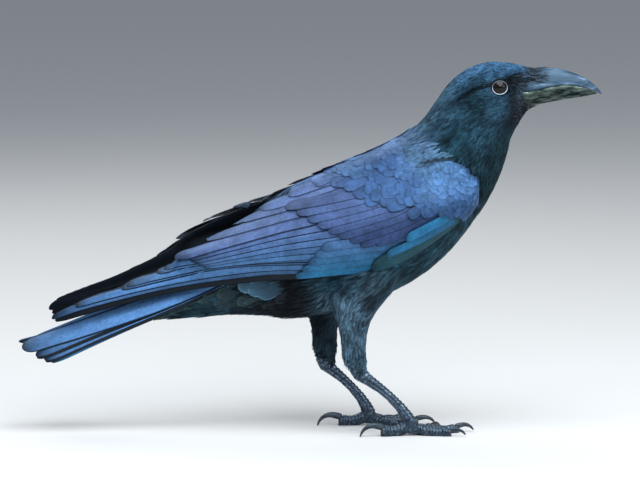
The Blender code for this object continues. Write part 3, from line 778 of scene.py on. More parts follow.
def on_sheet(sheet, x, up, key="places"):
    """Places, or directions outward, at x and up on a sheet."""
    values = sheet[key]
    i = np.clip((x - sheet["x"]) / SHEET_STEP, 0, len(values) - 1.001)
    j = np.clip(up / SHEET_STEP + SHEET_BELOW, 0, values.shape[1] - 1.001)
    i0, j0 = i.astype(int), j.astype(int)
    u, v = (i - i0)[..., None], (j - j0)[..., None]
    low = values[i0, j0] * (1 - u) + values[i0 + 1, j0] * u
    high = values[i0, j0 + 1] * (1 - u) + values[i0 + 1, j0 + 1] * u
    return low * (1 - v) + high * v


def up_on(sheet, x, z):
    """How far above the wing's lower edge places of the side view lie."""
    values = sheet["places"][..., 2]
    i = np.clip((x - sheet["x"]) / SHEET_STEP, 0, len(values) - 1.001)
    i0 = i.astype(int)
    column = values[i0] * (1 - i + i0)[..., None] + values[i0 + 1] * (i - i0)[..., None]
    column = np.maximum.accumulate(column, -1) + 0.002 * np.arange(values.shape[1])
    j = np.clip((column < z[..., None]).sum(-1), 1, values.shape[1] - 1)
    low, high = (np.take_along_axis(column, (j - k)[..., None], -1)[..., 0] for k in (1, 0))
    up = (j - 1 - SHEET_BELOW + (z - low) / (high - low)) * SHEET_STEP
    room = sheet["full"][i0] - 2 - up
    return up + room - (room + np.sqrt(room**2 + 30)) / 2


sheets = {name: wing_sheet(name, side) for name, side in WING_SIDES.items()}
LEFT_PITCH, LEFT_RISE, LEFT_RISE_LENGTH, SHOULDER_X = math.radians(1.8), 8.0, 175.0, 110.7


def held(sheet, x, z):
    """The height of a place of the near wing, on this wing: the left one is held a little higher."""
    if sheet["near"]:
        return z
    rearward = np.clip((10.7 - x) / LEFT_RISE_LENGTH, 0, 1)
    return z + (SHOULDER_X - x) * math.tan(LEFT_PITCH) + LEFT_RISE * np.sin(np.pi * rearward) ** 2


# A vane's corners: rows along it and five columns across, over one row of corners below each edge.
ACROSS = np.array([-1, -0.5, 0, 0.5, 1])
CROWN, KEEL = 0.025, 0.51


def tract(sheet, rows, length_steps, root_width):
    """Where the corners of many vanes lie on a sheet, and how high above it.

    Each row holds root x and z, tip x and z, half widths of the lower and the upper vane, how far its
    middle bows up, the height of its root and of its tip above the sheet, how far its upper edge sinks,
    how blunt its tip is, and its dye.
    """
    table = np.array([row[:11] for row in rows], float)
    root, tip = table[:, 0:2], table[:, 2:4]
    low_width, high_width, bow, lift_root, lift_tip, sink, blunt = table[:, 4:11].T
    share = 1 - (1 - np.linspace(0, 1, length_steps)) ** 2.2
    middle = root[:, None] + (tip - root)[:, None] * share[None, :, None]
    middle[..., 1] += bow[:, None] * np.sin(np.pi * share)
    middle[..., 1] = held(sheet, middle[..., 0], middle[..., 1])
    middle[..., 1] = up_on(sheet, middle[..., 0], middle[..., 1])
    ahead = unit(np.gradient(middle, axis=1))
    for _ in range(2):
        ahead[:, 1:-1] = unit(ahead[:, :-2] + ahead[:, 1:-1] + ahead[:, 2:])
    square = np.stack([-ahead[..., 1], ahead[..., 0]], -1)
    square *= np.sign(square[..., 1:2] + 1e-9)
    length = np.linalg.norm(np.diff(middle, axis=1), axis=2).sum(1)
    wide = (low_width + high_width) / 2
    turn_in = 1 - np.clip(blunt * wide / length, 0.04, 0.9)
    past = np.clip((share[None] - turn_in[:, None]) / (1 - turn_in[:, None]), 0, 1)
    from_root = root_width + (1 - root_width) * eased(0, 0.2 + 0.5 * (0.65 - root_width), share)
    shape = np.sqrt(np.clip(1 - past**2.2, 0, 1)) * from_root
    shape = np.maximum(shape, 0.03)
    reach = np.where(ACROSS < 0, low_width[:, None], high_width[:, None]) * ACROSS
    out = middle[:, :, None] + square[:, :, None] * (shape[..., None] * reach[:, None])[..., None]
    lift = lift_root[:, None] + (lift_tip - lift_root)[:, None] * share[None]
    crown = CROWN * wide[:, None] * shape
    height = lift[..., None] + crown[..., None] * (1 - ACROSS**2)
    height = height - sink[:, None, None] * ((ACROSS + 1) / 2) ** 1.3
    return out, height, share


def mapped(mesh, flat):
    """Stores each corner's place on the OFBake map."""
    loops = read(mesh, "loops", "vertex_index", 1).astype(int)[:, 0]
    mesh.uv_layers.new(name="OFBake").data.foreach_set("uv", flat[loops].astype(np.float32).ravel())


def finished(name, mesh, finish):
    """A piece of the bird in its finish, on the bird's one body."""
    mesh.materials.append(finish)
    piece = placed(name, mesh)
    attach(piece, "root")
    return piece


def vanes(name, sheet, rows, finish, length_steps, root_width=0.65):
    """A piece of many vanes on a sheet, each closed by a lower face just under it."""
    out, height, share = tract(sheet, rows, length_steps, root_width)
    count, steps_along, _ = height.shape
    x = out[..., 0]
    sheet_xs = sheet["x"] + SHEET_STEP * np.arange(len(sheet["full"]))
    up = np.minimum(out[..., 1], np.interp(x, sheet_xs, sheet["full"]) - 0.5)
    places, outward = on_sheet(sheet, x, up), on_sheet(sheet, x, up, "out")
    top = places + outward * height[..., None]
    keel = top[:, :, 2] - outward[:, :, 2] * KEEL
    corners = np.concatenate([top, keel[:, :, None]], 2)
    each = steps_along * 6
    cell = np.arange(each).reshape(steps_along, 6)
    faces = []
    for i in range(steps_along - 1):
        near, far = cell[i], cell[i + 1]
        faces += [(near[j], near[j + 1], far[j + 1], far[j]) for j in range(4)]
        faces += [(near[4], near[5], far[5], far[4]), (near[5], near[0], far[0], far[5])]
    ends = [tuple(cell[0]), tuple(cell[-1][::-1])]
    all_faces = [tuple(int(v) + each * k for v in f) for k in range(count) for f in faces + ends]
    mesh = bpy.data.meshes.new(name)
    mesh.from_pydata((corners.reshape(-1, 3) * MM).tolist(), [], all_faces)
    mesh.update()
    whole = bmesh.new()
    whole.from_mesh(mesh)
    bmesh.ops.recalc_face_normals(whole, faces=whole.faces)
    whole.to_mesh(mesh)
    whole.free()
    mesh.shade_smooth()
    mesh.set_sharp_from_angle(angle=math.radians(SHARP_ABOVE))
    spot = np.zeros((count, steps_along, 6, 3))
    spot[..., 0] = share[None, :, None]
    spot[..., :5, 1] = 0.5 + ACROSS / 2
    spot[..., 5, 1] = 0.5
    give(mesh, "spot", spot)
    dyes = np.array([row[11] for row in rows])
    tones = 0.84 + 0.32 * rng.random((count, 1))
    give(mesh, "tint", np.repeat(as_colour(dyes * tones), each, axis=0), "FLOAT_COLOR")
    whose = np.repeat(np.arange(count), each)
    per_row = math.ceil(math.sqrt(count * 4))
    wide, tall = 1 / per_row, 1 / math.ceil(count / per_row)
    corner = np.stack([whose % per_row * wide, whose // per_row * tall], 1)
    mapped(mesh, corner + 0.02 * wide + spot.reshape(-1, 3)[:, 1::-1] * np.array([wide, tall]) * 0.94)
    return finished(name, mesh, finish)


# Dyes of the wing and tail, whose blues are likewise the gloss painted in as sheen.
VIOLET = (0.080, 0.128, 0.286)
DUSK = (0.034, 0.062, 0.168)
AZURE = (0.070, 0.175, 0.375)
SKY = (0.051, 0.123, 0.268)
DENIM = (0.030, 0.078, 0.195)
CYAN = (0.019, 0.145, 0.300)
SEA_GREEN = (0.012, 0.062, 0.078)
INK = (0.006, 0.006, 0.008)
MIDNIGHT = (0.024, 0.062, 0.158)
PERIWINKLE = (0.082, 0.148, 0.302)
LAVENDER = (0.056, 0.116, 0.205)
MAUVE = (0.054, 0.088, 0.205)


def between(first, last, count):
    """Rows from the first to the last, all their numbers stepping evenly."""
    shares = [i / (count - 1) for i in range(count)]
    pairs = [(np.array(a), np.array(b)) for a, b in zip(first, last)]
    return [tuple(a + (b - a) * share for a, b in pairs) for share in shares]


# Vanes: root x, z; tip x, z; lower and upper half width; bow; height at root and tip; sink; bluntness; dye.
PRIMARIES = [
    (44, 152, -116, 134, 4.6, 7, 6, -0.9, 0.2, 0.5, 1.8, AZURE),
    (43, 148, -122, 130.5, 4.4, 7, 7, -1.0, 0.0, 0.5, 1.8, AZURE),
    (42, 144, -146, 120, 4.2, 7, 8, -1.1, -0.1, 0.5, 1.6, AZURE),
    (40, 140.5, -150, 117, 3.8, 7.5, 9, -1.2, -0.3, 0.5, 2.0, AZURE),
    (39, 137, -187, 103.5, 3.4, 7.5, 9, -1.3, -0.4, 0.5, 2.2, AZURE),
    (38, 133.5, -206, 94.5, 3.0, 8, 10, -1.5, -0.6, 0.5, 2.4, SKY),
    (36, 129, -203, 91, 3.4, 8, 10, -1.8, -0.9, 0.5, 2.4, INK),
]
SECONDARIES = between(
    (52, 186, -100, 143, 5.5, 7, 3, -0.2, 0.9, 0.5, 1.8, VIOLET),
    (50, 146, -84, 135, 3.2, 6, 4, -0.9, 0.3, 0.5, 2.0, AZURE),
    6,
)
TERTIALS = [
    (40, 186, -106, 141, 7.5, 7, 2, 0.6, 1.5, 0.4, 1.5, VIOLET),
    (34, 192, -84, 154, 7.0, 7, 1, 0.8, 1.7, 0.4, 1.5, VIOLET),
    (30, 198, -60, 167, 6.5, 7, 1, 1.0, 1.8, 0.4, 1.4, VIOLET),
    (30, 203, -38, 179, 6.0, 7, 0, 1.1, 1.9, 0.4, 1.4, VIOLET),
    (28, 207, -16, 191, 6.0, 7, 0, 1.2, 2.0, 0.4, 1.4, VIOLET),
]
GREATER_COVERTS = between(
    (60, 201, -18, 182, 6.8, 7.5, 0, 0.9, 2.4, 0.8, 1.3, MAUVE),
    (94, 175, 40, 156, 4.8, 6, -1, -0.2, 1.3, 0.8, 1.4, DUSK),
    8,
) + [(106, 179, 52, 156, 3.6, 6, -2, -0.4, 1.2, 0.8, 1.5, DUSK)]
PRIMARY_COVERTS = between(
    (82, 160, 9.5, 152.3, 2.9, 5, 1, -0.2, 1.4, 0.4, 1.5, SKY),
    (70, 134, -10.5, 128.2, 2.4, 5, 1, -0.8, 0.7, 0.4, 1.5, CYAN),
    5,
)
ALULA = [
    (118, 175, 49.5, 135.5, 7.0, 11, -4, 0.2, 1.5, 0.4, 1.8, SEA_GREEN),
    (115, 173, 60.5, 147, 3.6, 5, -1, 0.7, 2.0, 0.4, 1.4, CYAN),
    (113, 178, 76, 160, 4.0, 5, 0, 1.0, 2.3, 0.4, 1.3, CYAN),
]
FAR_FLIGHT_SHADE, FAR_COVERTS_SHADE = 0.12, 0.35  # painted shade on the left wing, darkest on its flight feathers
LEFT_TIP_DROP = (3.5, 7)  # its longest tips lie further back and lower
for name, sheet in sheets.items():
    # The dark edges of these finishes are painted shade of the gaps between vanes, widest and darkest on the
    # outer flight feathers.
    flight = dressed("flight_" + name, 420, 0.10, 0.18, 0.9, 0.2, 0.1, 0.34, 0.45, 0.3, patchy=0.55)
    outer = dressed("outer_flight_" + name, 420, 0.10, 0.36, 0.98, 0.16, 0.1, 0.34, 0.45, 0.3, patchy=0.55)
    inner = dressed("inner_flight_" + name, 420, 0.10, 0.16, 0.7, 0.2, 0.1, 0.34, 0.45, 0.3, patchy=0.6)
    covert = dressed("covert_" + name, 110, 0.4, 0.12, 0.68, 0.18, 0.08, 0.36, 0.42, 0.3, patchy=0.6)
    for part, rows, finish, steps_along, far_shade, replaced in (
        ("primaries", PRIMARIES, outer, 22, FAR_FLIGHT_SHADE, "primaries"),
        ("secondaries", SECONDARIES, flight, 20, FAR_FLIGHT_SHADE, "secondaries"),
        ("tertials", TERTIALS, inner, 20, FAR_FLIGHT_SHADE, None),
        ("greater_coverts", GREATER_COVERTS, covert, 14, FAR_COVERTS_SHADE, "arm"),
        ("primary_coverts", PRIMARY_COVERTS, covert, 14, FAR_COVERTS_SHADE, None),
        ("alula", ALULA, covert, 14, FAR_COVERTS_SHADE, None),
    ):
        # painted shade: the left wing's dyes darkened
        if name == "left":
            drops = [eased(-100, -206, row[2]) * np.array(LEFT_TIP_DROP) for row in rows]
            rows = [
                (*row[:2], row[2] - back, row[3] - down, *row[4:11], np.array(row[11]) * far_shade)
                for row, (back, down) in zip(rows, drops)
            ]
        made = vanes(f"{part}_{name}", sheet, rows, finish, steps_along)
        if replaced:
            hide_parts(f"wing_{name}_{replaced}")

# The small coverts of the arm, the scapulars and the mantle are one coat of round feathers over the roots
# of the rest. Each entry has the same figures as the lie of the coat.
LIE_OF_THE_COVERTS = {
    "tip of the bend": ((130, 201), 236, 7.0, 4.6, 2.0, 0.45, SKY),
    "top of the bend": ((116, 214), 206, 8.0, 5.0, 2.1, 0.4, SKY),
    "under the bend": ((124, 187), 214, 9.0, 6.0, 2.7, 0.5, DENIM),
    "front of the arm": ((106, 200), 200, 11.0, 7.2, 3.1, 0.5, SKY),
    "middle of the arm": ((86, 202), 198, 13.0, 9.4, 4.2, 0.6, MIDNIGHT),
    "back of the arm": ((56, 204), 196, 16.0, 11.5, 5.4, 0.8, DENIM),
    "front median": ((100, 184), 206, 14.0, 10.0, 4.8, 0.8, MIDNIGHT),
    "middle median": ((72, 191), 200, 17.0, 13.0, 6.4, 0.9, MIDNIGHT),
    "back median": ((42, 199), 198, 20.0, 14.5, 7.6, 0.9, DUSK),
    "back scapular": ((12, 209), 205, 20.0, 14.0, 7.6, 0.9, VIOLET),
    "middle scapular": ((44, 215), 203, 17.0, 13.0, 6.8, 1.0, SKY),
    "front scapular": ((70, 219), 203, 14.0, 11.0, 5.2, 0.9, DENIM),
    "back of the mantle": ((34, 228), 205, 11.0, 8.0, 3.9, 0.6, SKY),
    "middle of the mantle": ((66, 234), 206, 9.0, 5.6, 2.8, 0.5, PERIWINKLE),
    "front of the mantle": ((90, 238), 212, 8.0, 2.2, 1.6, 0.4, LAVENDER),
    "shoulder": ((96, 227), 204, 8.0, 2.4, 1.7, 0.45, LAVENDER),
    "front of the shoulder": ((114, 225), 200, 7.0, 1.9, 1.45, 0.4, HAZE),
}
CREASE_X = [-40, 0, 40, 85, 97, 106, 117.5, 126, 131.5, 134]
CREASE_Z = [188, 206, 213, 214, 217.5, 219.5, 218.5, 214, 206, 196]
LAST_TIPS_X = [-8, 2, 16, 30, 50, 60, 80, 98, 112, 121, 127, 134]
LAST_TIPS_Z = [230, 201, 199, 194, 187, 184, 178.5, 176.5, 176, 173, 178, 188]
BEND_FRONT = 131
MANTLE_FRONT_Z, MANTLE_FRONT_X, MANTLE_FADE = [222, 246], [121, 86], 18


def cape(name, sheet):
    """The ground that the small coverts of one wing grow on, mapped by its own rows and columns."""
    sheet_x, _, sheet_z = np.moveaxis(sheet["places"], -1, 0)
    sheet_x = np.minimum(sheet_x, BEND_FRONT)
    below_crease = np.interp(sheet_x, CREASE_X, CREASE_Z) - sheet_z
    softness = np.interp(sheet_x, [60, 92], [9, 1.2])
    on_wing = eased(-1, 1, below_crease / softness)
    rise = -0.9 + 1.9 * on_wing - 2.2 * (1 - on_wing) * eased(108, 124, sheet_x)
    rise -= 1.6 * eased(84, 98, sheet_x) * np.exp(-(((below_crease + 1.8) / 1.8) ** 2))
    corners = (sheet["places"] + sheet["out"] * rise[..., None]).reshape(-1, 3) * MM
    lengthwise, around = rise.shape
    cell = np.arange(rise.size).reshape(rise.shape).tolist()
    faces = [
        (cell[i][j], cell[i][j + 1], cell[i + 1][j + 1], cell[i + 1][j])
        for i in range(lengthwise - 1)
        for j in range(SHEET_BELOW, around - 1)
        if (j - SHEET_BELOW) * SHEET_STEP < sheet["full"][i]
    ]
    mesh = bpy.data.meshes.new(name)
    mesh.from_pydata(corners.tolist(), [], faces)
    give(mesh, "outward", sheet["out"])
    mapped(mesh, np.indices(rise.shape).reshape(2, -1).T / rise.shape)
    return placed(name, mesh)


def covert_can_grow(places, triangles):
    """Only where its tip ends above the last row, and on the mantle no further forward than the neck."""
    way, sizes, _ = plumage_at(places, LIE_OF_THE_COVERTS)
    tips = places + way * sizes[:, :1]
    good = tips[:, 2] > np.interp(tips[:, 0], LAST_TIPS_X, LAST_TIPS_Z)
    on_mantle = places[:, 2] > np.interp(np.minimum(places[:, 0], BEND_FRONT), CREASE_X, CREASE_Z)
    front = np.interp(places[:, 2], MANTLE_FRONT_Z, MANTLE_FRONT_X) - MANTLE_FADE * rng.random(len(places))
    return good & (~on_mantle | (places[:, 0] < front))


for name, sheet in sheets.items():
    ground = cape("cape_" + name, sheet)
    small = dressed("small_covert_" + name, 90, 0.4, 0.15, 0.55, 0.14, 0.0, 0.4, 0.42, 0.25, 0.05, 0.6)
    roots = rooted(ground, LIE_OF_THE_COVERTS, 20000, covert_can_grow, 0.12)
    # painted shade on the left coverts, fading out towards the ridge of the back
    if name == "left":
        by_ridge = eased(16, 2, np.abs(roots["places"][:, 1:2]))
        roots["dyes"] = roots["dyes"] * (FAR_COVERTS_SHADE + (1 - FAR_COVERTS_SHADE) * by_ridge)
    coated("coverts_" + name, SCALE, small, ground, roots, uneven=0.22, ragged=0.5)
    bpy.data.objects.remove(ground)

# Under its vanes each wing has a thin dark lining, which shuts the gaps and shows on its inner side; its
# tint is painted shade.
LINING_DEPTH, LINING_THICKNESS = 2.3, 0.7


def lofted(name, rings, looped=False):
    """A closed mesh through rings of corners, in mm, with flat ends or looped round to its first ring."""
    shape = bmesh.new()
    made = [[shape.verts.new(Vector(p) * MM) for p in ring] for ring in rings]
    for near, far in zip(made, made[1:] + made[:1] * looped):
        for i in range(len(near)):
            shape.faces.new((near[i], near[i - 1], far[i - 1], far[i])).smooth = True
    if not looped:
        shape.faces.new(made[0])
        shape.faces.new(made[-1])
    return as_mesh(name, shape)


def lining(name, sheet, xs, low, tops, finish):
    """A closed thin shell under a sheet, between two lines along it."""
    rows = []
    for x, top in zip(xs, tops):
        up = np.linspace(low, max(top, low + 2), 16)
        at = np.full(len(up), float(x))
        place, out = on_sheet(sheet, at, up), on_sheet(sheet, at, up, "out")
        inner = place - out * (LINING_DEPTH + LINING_THICKNESS)
        rows.append(np.concatenate([place - out * LINING_DEPTH, inner[::-1]]))
    mesh = lofted(name, rows)
    # painted shade: the coverts' dyes at a third of their lightness, black towards the rear
    under = plumage_at(read(mesh) / MM, LIE_OF_THE_COVERTS)[2] * 0.3 * eased(20, 40, read(mesh)[:, :1] / MM)
    give(mesh, "tint", as_colour(np.maximum(under, INK)), "FLOAT_COLOR")
    finished(name, mesh, finish)


for name, sheet in sheets.items():
    tops = np.array(sheet["top"])
    xs = sheet["x"] + SHEET_STEP * np.arange(1, len(tops) + 1)
    lining(f"wing_lining_{name}", sheet, xs[1:-1], 1.5, tops[1:-1] - 1, skin_finish)

# --- the tail -------------------------------------------------------------------------------------
# Twelve long vanes closed one over another like a fan, the middle pair on top and each outer one lower and
# a little shorter, so that their tips step down. They are laid on a sheet over each half of the tail.
TAIL_RIDGE_X, TAIL_RIDGE_Z = [-234, -150, -66], [48, 70, 92]
TAIL_LINING_END = -160
TAIL_ROWS_ON = 6


def tail_sheet(side):
    """The sheet over one half of the tail, run on past its end."""
    faces = solid_faces(["tail", "trunk"])
    low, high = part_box("tail")
    xs = np.arange(low.x / MM + 15, high.x / MM - 2, SHEET_STEP)
    turns = np.radians(np.arange(-40, 91, 2))
    lines = []
    for x in xs:
        hits = section(faces, x, np.interp(x, TAIL_RIDGE_X, TAIL_RIDGE_Z), side, turns)
        lines.append(np.array([tuple(p) for p in hits if p is not None]))
    sheet = fitted_sheet(lines, 26)
    onward, inward = (sheet[0] - sheet[4]) / 4, sheet[-1] - sheet[-2]
    before = [sheet[0] + k * onward for k in range(TAIL_ROWS_ON, 0, -1)]
    after = [sheet[-1] + k * inward for k in range(1, 5)]
    sheet = np.concatenate([before, sheet, after])
    full = [np.linalg.norm(np.diff(line, axis=0), axis=1).sum() for line in lines]
    full = np.array(full[:1] * TAIL_ROWS_ON + full + full[-1:] * 4)
    return as_sheet(sheet, side, xs[0] - TAIL_ROWS_ON * SHEET_STEP, full, full, True)


TAIL_VANES = [
    (-50, 139, -233, 76, 7.0, 6.5, 1, -0.3, 0.2, 0.4, 2.0, AZURE),
    (-50, 131, -229.5, 67.8, 9, 10, -1.5, 0.4, 0.8, 0.4, 1.2, AZURE),
    (-50, 130, -218, 62.8, 4.6, 8, 1, -0.2, 0.2, 0.4, 2.6, AZURE),
    (-50, 128, -217, 61.4, 4.8, 8, 1, -0.4, 0.0, 0.4, 2.6, INK),
    (-50, 127, -211, 60.2, 4.2, 8, 1.5, -0.7, -0.3, 0.4, 2.8, AZURE),
    (-50, 125, -210, 59.0, 4.2, 8, 1.5, -0.9, -0.5, 0.4, 2.8, INK),
    (-50, 124, -205, 58.6, 3.2, 8, 2, -1.2, -0.8, 0.4, 3.0, CYAN),
]
for name, side in WING_SIDES.items():
    sheet = tail_sheet(side)
    # painted light: the vanes lighter at the root, where the wing's shadow falls on the tail's base, and
    # darker towards the tip
    flight = dressed(
        "tail_vane_" + name, 420, 0.10, 0.2, 0.94, 0.18, 0.08, 0.34, 0.45, 0.3, from_root=(-0.5, 1.24)
    )
    lift = 0.0 if name == "right" else -0.4
    rows = [(*row[:7], row[7] + lift, row[8] + lift, *row[9:]) for row in TAIL_VANES]
    made = vanes("tail_vanes_" + name, sheet, rows, flight, 20, root_width=0.25)
    xs = sheet["x"] + SHEET_STEP * np.arange(len(sheet["top"]))
    inner = np.nonzero(xs > TAIL_LINING_END)[0][:-3]
    lining("tail_lining_" + name, sheet, xs[inner], 9, np.array(sheet["top"])[inner], skin_finish)
    if name == "right":
        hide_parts("tail")

# --- the eyes -------------------------------------------------------------------------------------
# Each is a wet dark ball, a near-black pupil in a deep brown iris, sunk in a ring of bare wrinkled lid
# with a thin pale margin under it.
EYE_RADIUS = 7.5
PUPIL, IRIS = 2.9, 5.7
LOOK = {name: Vector((0.03, side, 0.03)).normalized() for name, side in WING_SIDES.items()}
LID_PROFILE = [
    (7.5, 1.8), (7.25, 2.9), (7.0, 3.8), (6.75, 4.5), (6.45, 4.9), (6.15, 4.95), (5.95, 4.75), (5.85, 4.3),
    (5.95, 3.8), (6.4, 3.1), (7.0, 2.0), (7.5, 0.4),
]
LID_OPENING, LID_SQUASH = 5.95, 0.89


def turned_about(centre, axis, profile, segments, squash):
    """Corners of an oval ring on an eyeball, from how far out and how far along its axis they lie, in mm."""
    level = Vector((1, 0, 0))
    level = (level - axis * level.dot(axis)).normalized()
    rise = axis.cross(level)
    if rise.z < 0:
        rise = -rise
    rows = []
    for i in range(segments):
        turn = math.tau * i / segments
        reach = LID_OPENING * math.hypot(math.cos(turn), math.sin(turn) * squash)
        over = math.sqrt(EYE_RADIUS**2 - reach**2) - math.sqrt(EYE_RADIUS**2 - LID_OPENING**2)
        rows.append([
            centre + axis * (along + over) + (level * math.cos(turn) + rise * math.sin(turn) * squash) * out
            for out, along in profile
        ])
    return rows


def banded(tree, share, bands):
    """Colours that a share between 0 and 1 picks from bands, each with its place and its colour."""
    node = added(tree, "ShaderNodeValToRGB", Fac=share)
    ends = node.color_ramp.elements
    ends[0].position, ends[1].position = bands[0][0], bands[-1][0]
    ends[0].color, ends[1].color = (*bands[0][1], 1), (*bands[-1][1], 1)
    for at, colour in bands[1:-1]:
        ends.new(at).color = (*colour, 1)
    return node.outputs["Color"]


def eye_finish(name, centre, axis):
    """Pupil, iris and dark rim, by how far a spot lies from the line that the eye looks along."""
    finish, tree, shader, spots = new_finish("eye_" + name)

    def vector_maths(kind, first, second=(0, 0, 0)):
        node = added(tree, "ShaderNodeVectorMath", Vector=first)
        node.operation = kind
        node.inputs[1].default_value = second
        return node.outputs

    from_centre = vector_maths("SUBTRACT", spots, centre * MM)["Vector"]
    away = vector_maths("LENGTH", vector_maths("CROSS_PRODUCT", from_centre, axis)["Vector"])["Value"]
    colour = banded(tree, maths(tree, "DIVIDE", away, EYE_RADIUS * MM), [
        (PUPIL / EYE_RADIUS, (0.002, 0.002, 0.002)),
        (PUPIL / EYE_RADIUS + 0.05, (0.007, 0.003, 0.002)),
        ((PUPIL + IRIS) / 2 / EYE_RADIUS, (0.010, 0.003, 0.002)),
        (IRIS / EYE_RADIUS - 0.06, (0.006, 0.003, 0.002)),
        (IRIS / EYE_RADIUS, (0.004, 0.003, 0.003)),
        (1.0, (0.004, 0.003, 0.003)),
    ])
    flecked = maths(tree, "MULTIPLY_ADD", noise(tree, spots, 900), 0.8, 0.6)
    take(
        tree, shader, Base_Color=multiplied(tree, colour, flecked), Roughness=0.5, Specular_IOR_Level=0,
        Coat_Weight=0.55, Coat_Roughness=0.02,
    )
    return finish


def horny(
    name, dark, pale, scale, roughness, relief, stretch=(1, 1, 1), pale_at=0.62, marked=None, shine=0.5
):
    """Bare skin or horn: dark with paler patches of wear and fine relief, stretched along the piece.

    What is marked is an attribute's name, its gain in lightness and the lightness of the rest.
    """
    finish, tree, shader, spots = new_finish(name)
    grain = noise(tree, added(tree, "ShaderNodeMapping", Vector=spots, Scale=stretch).outputs[0], scale, 5)
    middle = [a * 0.75 + b * 0.25 for a, b in zip(dark, pale)]
    colour = banded(tree, grain, [(0.38, dark), (pale_at, middle), (pale_at + 0.1, pale)])
    if marked:
        key, gain, rest = marked
        light = maths(tree, "MULTIPLY_ADD", attribute(tree, key)["Fac"], gain, rest)
        colour = multiplied(tree, colour, light)
    gloss = maths(tree, "MULTIPLY_ADD", grain, 0.3, roughness - 0.15)
    take(
        tree, shader, Base_Color=colour, Roughness=gloss, Specular_IOR_Level=shine,
        Specular_Tint=(0.5, 0.74, 1.0, 1.0),
    )
    bumped(tree, shader, grain, relief, 0.3)
    return finish


lid_skin = horny("lid_skin", (0.004, 0.004, 0.005), (0.014, 0.018, 0.024), 1500, 0.6, 0.8, shine=0.12)
lid_margin = horny(
    "lid_margin", (0.36, 0.44, 0.54), (0.56, 0.66, 0.78), 1400, 0.4, 0.3, marked=("low", 1.1, 0.36)
)
MARGIN_REACH, MARGIN_ALONG, MARGIN_ROUND = 5.95, 4.84, 0.3
RIM = [
    (MARGIN_REACH + MARGIN_ROUND * math.cos(t), MARGIN_ALONG + MARGIN_ROUND * math.sin(t))
    for t in np.arange(6) * math.tau / 6
]
for name, axis in LOOK.items():
    centre = EYES[name]
    bpy.ops.mesh.primitive_uv_sphere_add(
        segments=48, ring_count=32, radius=EYE_RADIUS * MM, location=centre * MM
    )
    ball = bpy.context.object
    ball.name = ball.data.name = "eyeball_" + name
    ball.data.transform(ball.matrix_world)
    ball.matrix_world.identity()
    ball.data.shade_smooth()
    ball.data.materials.append(eye_finish(name, centre, axis))
    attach(ball, "root")
    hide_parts("eye_" + name)
    lid = lofted("eyelid_" + name, turned_about(centre, axis, LID_PROFILE, 64, LID_SQUASH), looped=True)
    finished("eyelid_" + name, lid, lid_skin)
    margin = lofted("lid_margin_" + name, turned_about(centre, axis, RIM, 64, LID_SQUASH), looped=True)
    give(margin, "low", eased(centre.z + 3, centre.z - 4, read(margin)[:, 2] / MM), "FLOAT")
    finished("lid_margin_" + name, margin, lid_margin)

# --- the bill -------------------------------------------------------------------------------------
# Two halves of dark horn over bone, showing wear, arched and slightly hooked, with a sharp cutting edge. The
# upper one is glossy and slate grey with a painted highlight along its ridge, darker along its cutting edge
# with a pale line above it; the lower one is duller and greenish, chipped where the halves rub, its pale
# cutting edge partly that wear and partly a painted highlight.
BILL_STATIONS, BILL_SIDES = 80, 30


def bill_profile(node, outward):
    """Along the bill: x, the height of ridge or keel, of the cutting edge, and the half width."""
    faces = solid_faces([node])
    low, high = (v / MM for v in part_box(node))
    xs = np.linspace(low.x + 0.3, high.x - 0.25, BILL_STATIONS)
    rows = []
    for x in xs:
        ridge = faces.ray_cast(Vector((x, 0, 280 + 60 * outward)), Vector((0, 0, -outward)))[0]
        edge = faces.ray_cast(Vector((x, 0, 280 - 60 * outward)), Vector((0, 0, outward)))[0]
        wide = faces.ray_cast(Vector((x, -60, edge.z + 0.15 * outward)), Vector((0, 1, 0)))[0]
        rows.append((x, ridge.z, edge.z, abs(wide.y)))
    rows = np.array(rows)
    for _ in range(14):
        rows[1:-1] = (rows[:-2] + 2 * rows[1:-1] + rows[2:]) / 4
    return rows


def bill_piece(name, node, outward, finish):
    rings, worn = [], []
    for x, ridge, edge, wide in bill_profile(node, outward):
        ring = []
        for i in range(BILL_SIDES):
            turn = math.pi * i / (BILL_SIDES - 1)
            lip = 0.05 * math.exp(-((math.sin(turn) / 0.12) ** 2))
            out = math.cos(turn) * (1 - 0.25 * math.sin(turn) ** 2 + lip)
            rise = math.sin(turn) ** 0.85
            ring.append((x, wide * out, edge + (ridge - edge) * rise))
            # painted highlight along the upper ridge; the pale lower cutting edge is partly wear and partly
            # painted highlight
            at_edge = math.exp(-((math.sin(turn) / 0.06) ** 2))
            by_edge = 0.3 * math.exp(-(((math.sin(turn) - 0.11) / 0.05) ** 2))
            worn.append(0.4 * math.sin(turn) ** 10 - 0.44 * at_edge + by_edge if outward > 0 else at_edge)
        ring += [(x, wide * s, edge + outward * 0.35) for s in (-0.6, 0, 0.6)]
        worn += [0, 0, 0]
        rings.append(ring)
    mesh = lofted(name, rings)
    mesh.set_sharp_from_angle(angle=math.radians(60))
    give(mesh, "worn", worn, "FLOAT")
    piece = finished(name, mesh, finish)
    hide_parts(node)
    return piece


upper_horn = horny(
    "upper_horn", (0.013, 0.034, 0.062), (0.20, 0.31, 0.44), 300, 0.32, 0.3, (0.16, 1, 1), 0.64,
    ("worn", 1.7, 0.8),
)
lower_horn = horny(
    "lower_horn", (0.002, 0.006, 0.004), (0.46, 0.62, 0.54), 460, 0.36, 0.5, (0.22, 1, 1), 0.67,
    ("worn", 3.0, 0.7), 0.12,
)
bills = [
    bill_piece("upper_bill", "bill_upper", 1, upper_horn),
    bill_piece("lower_bill", "bill_lower", -1, lower_horn),
]

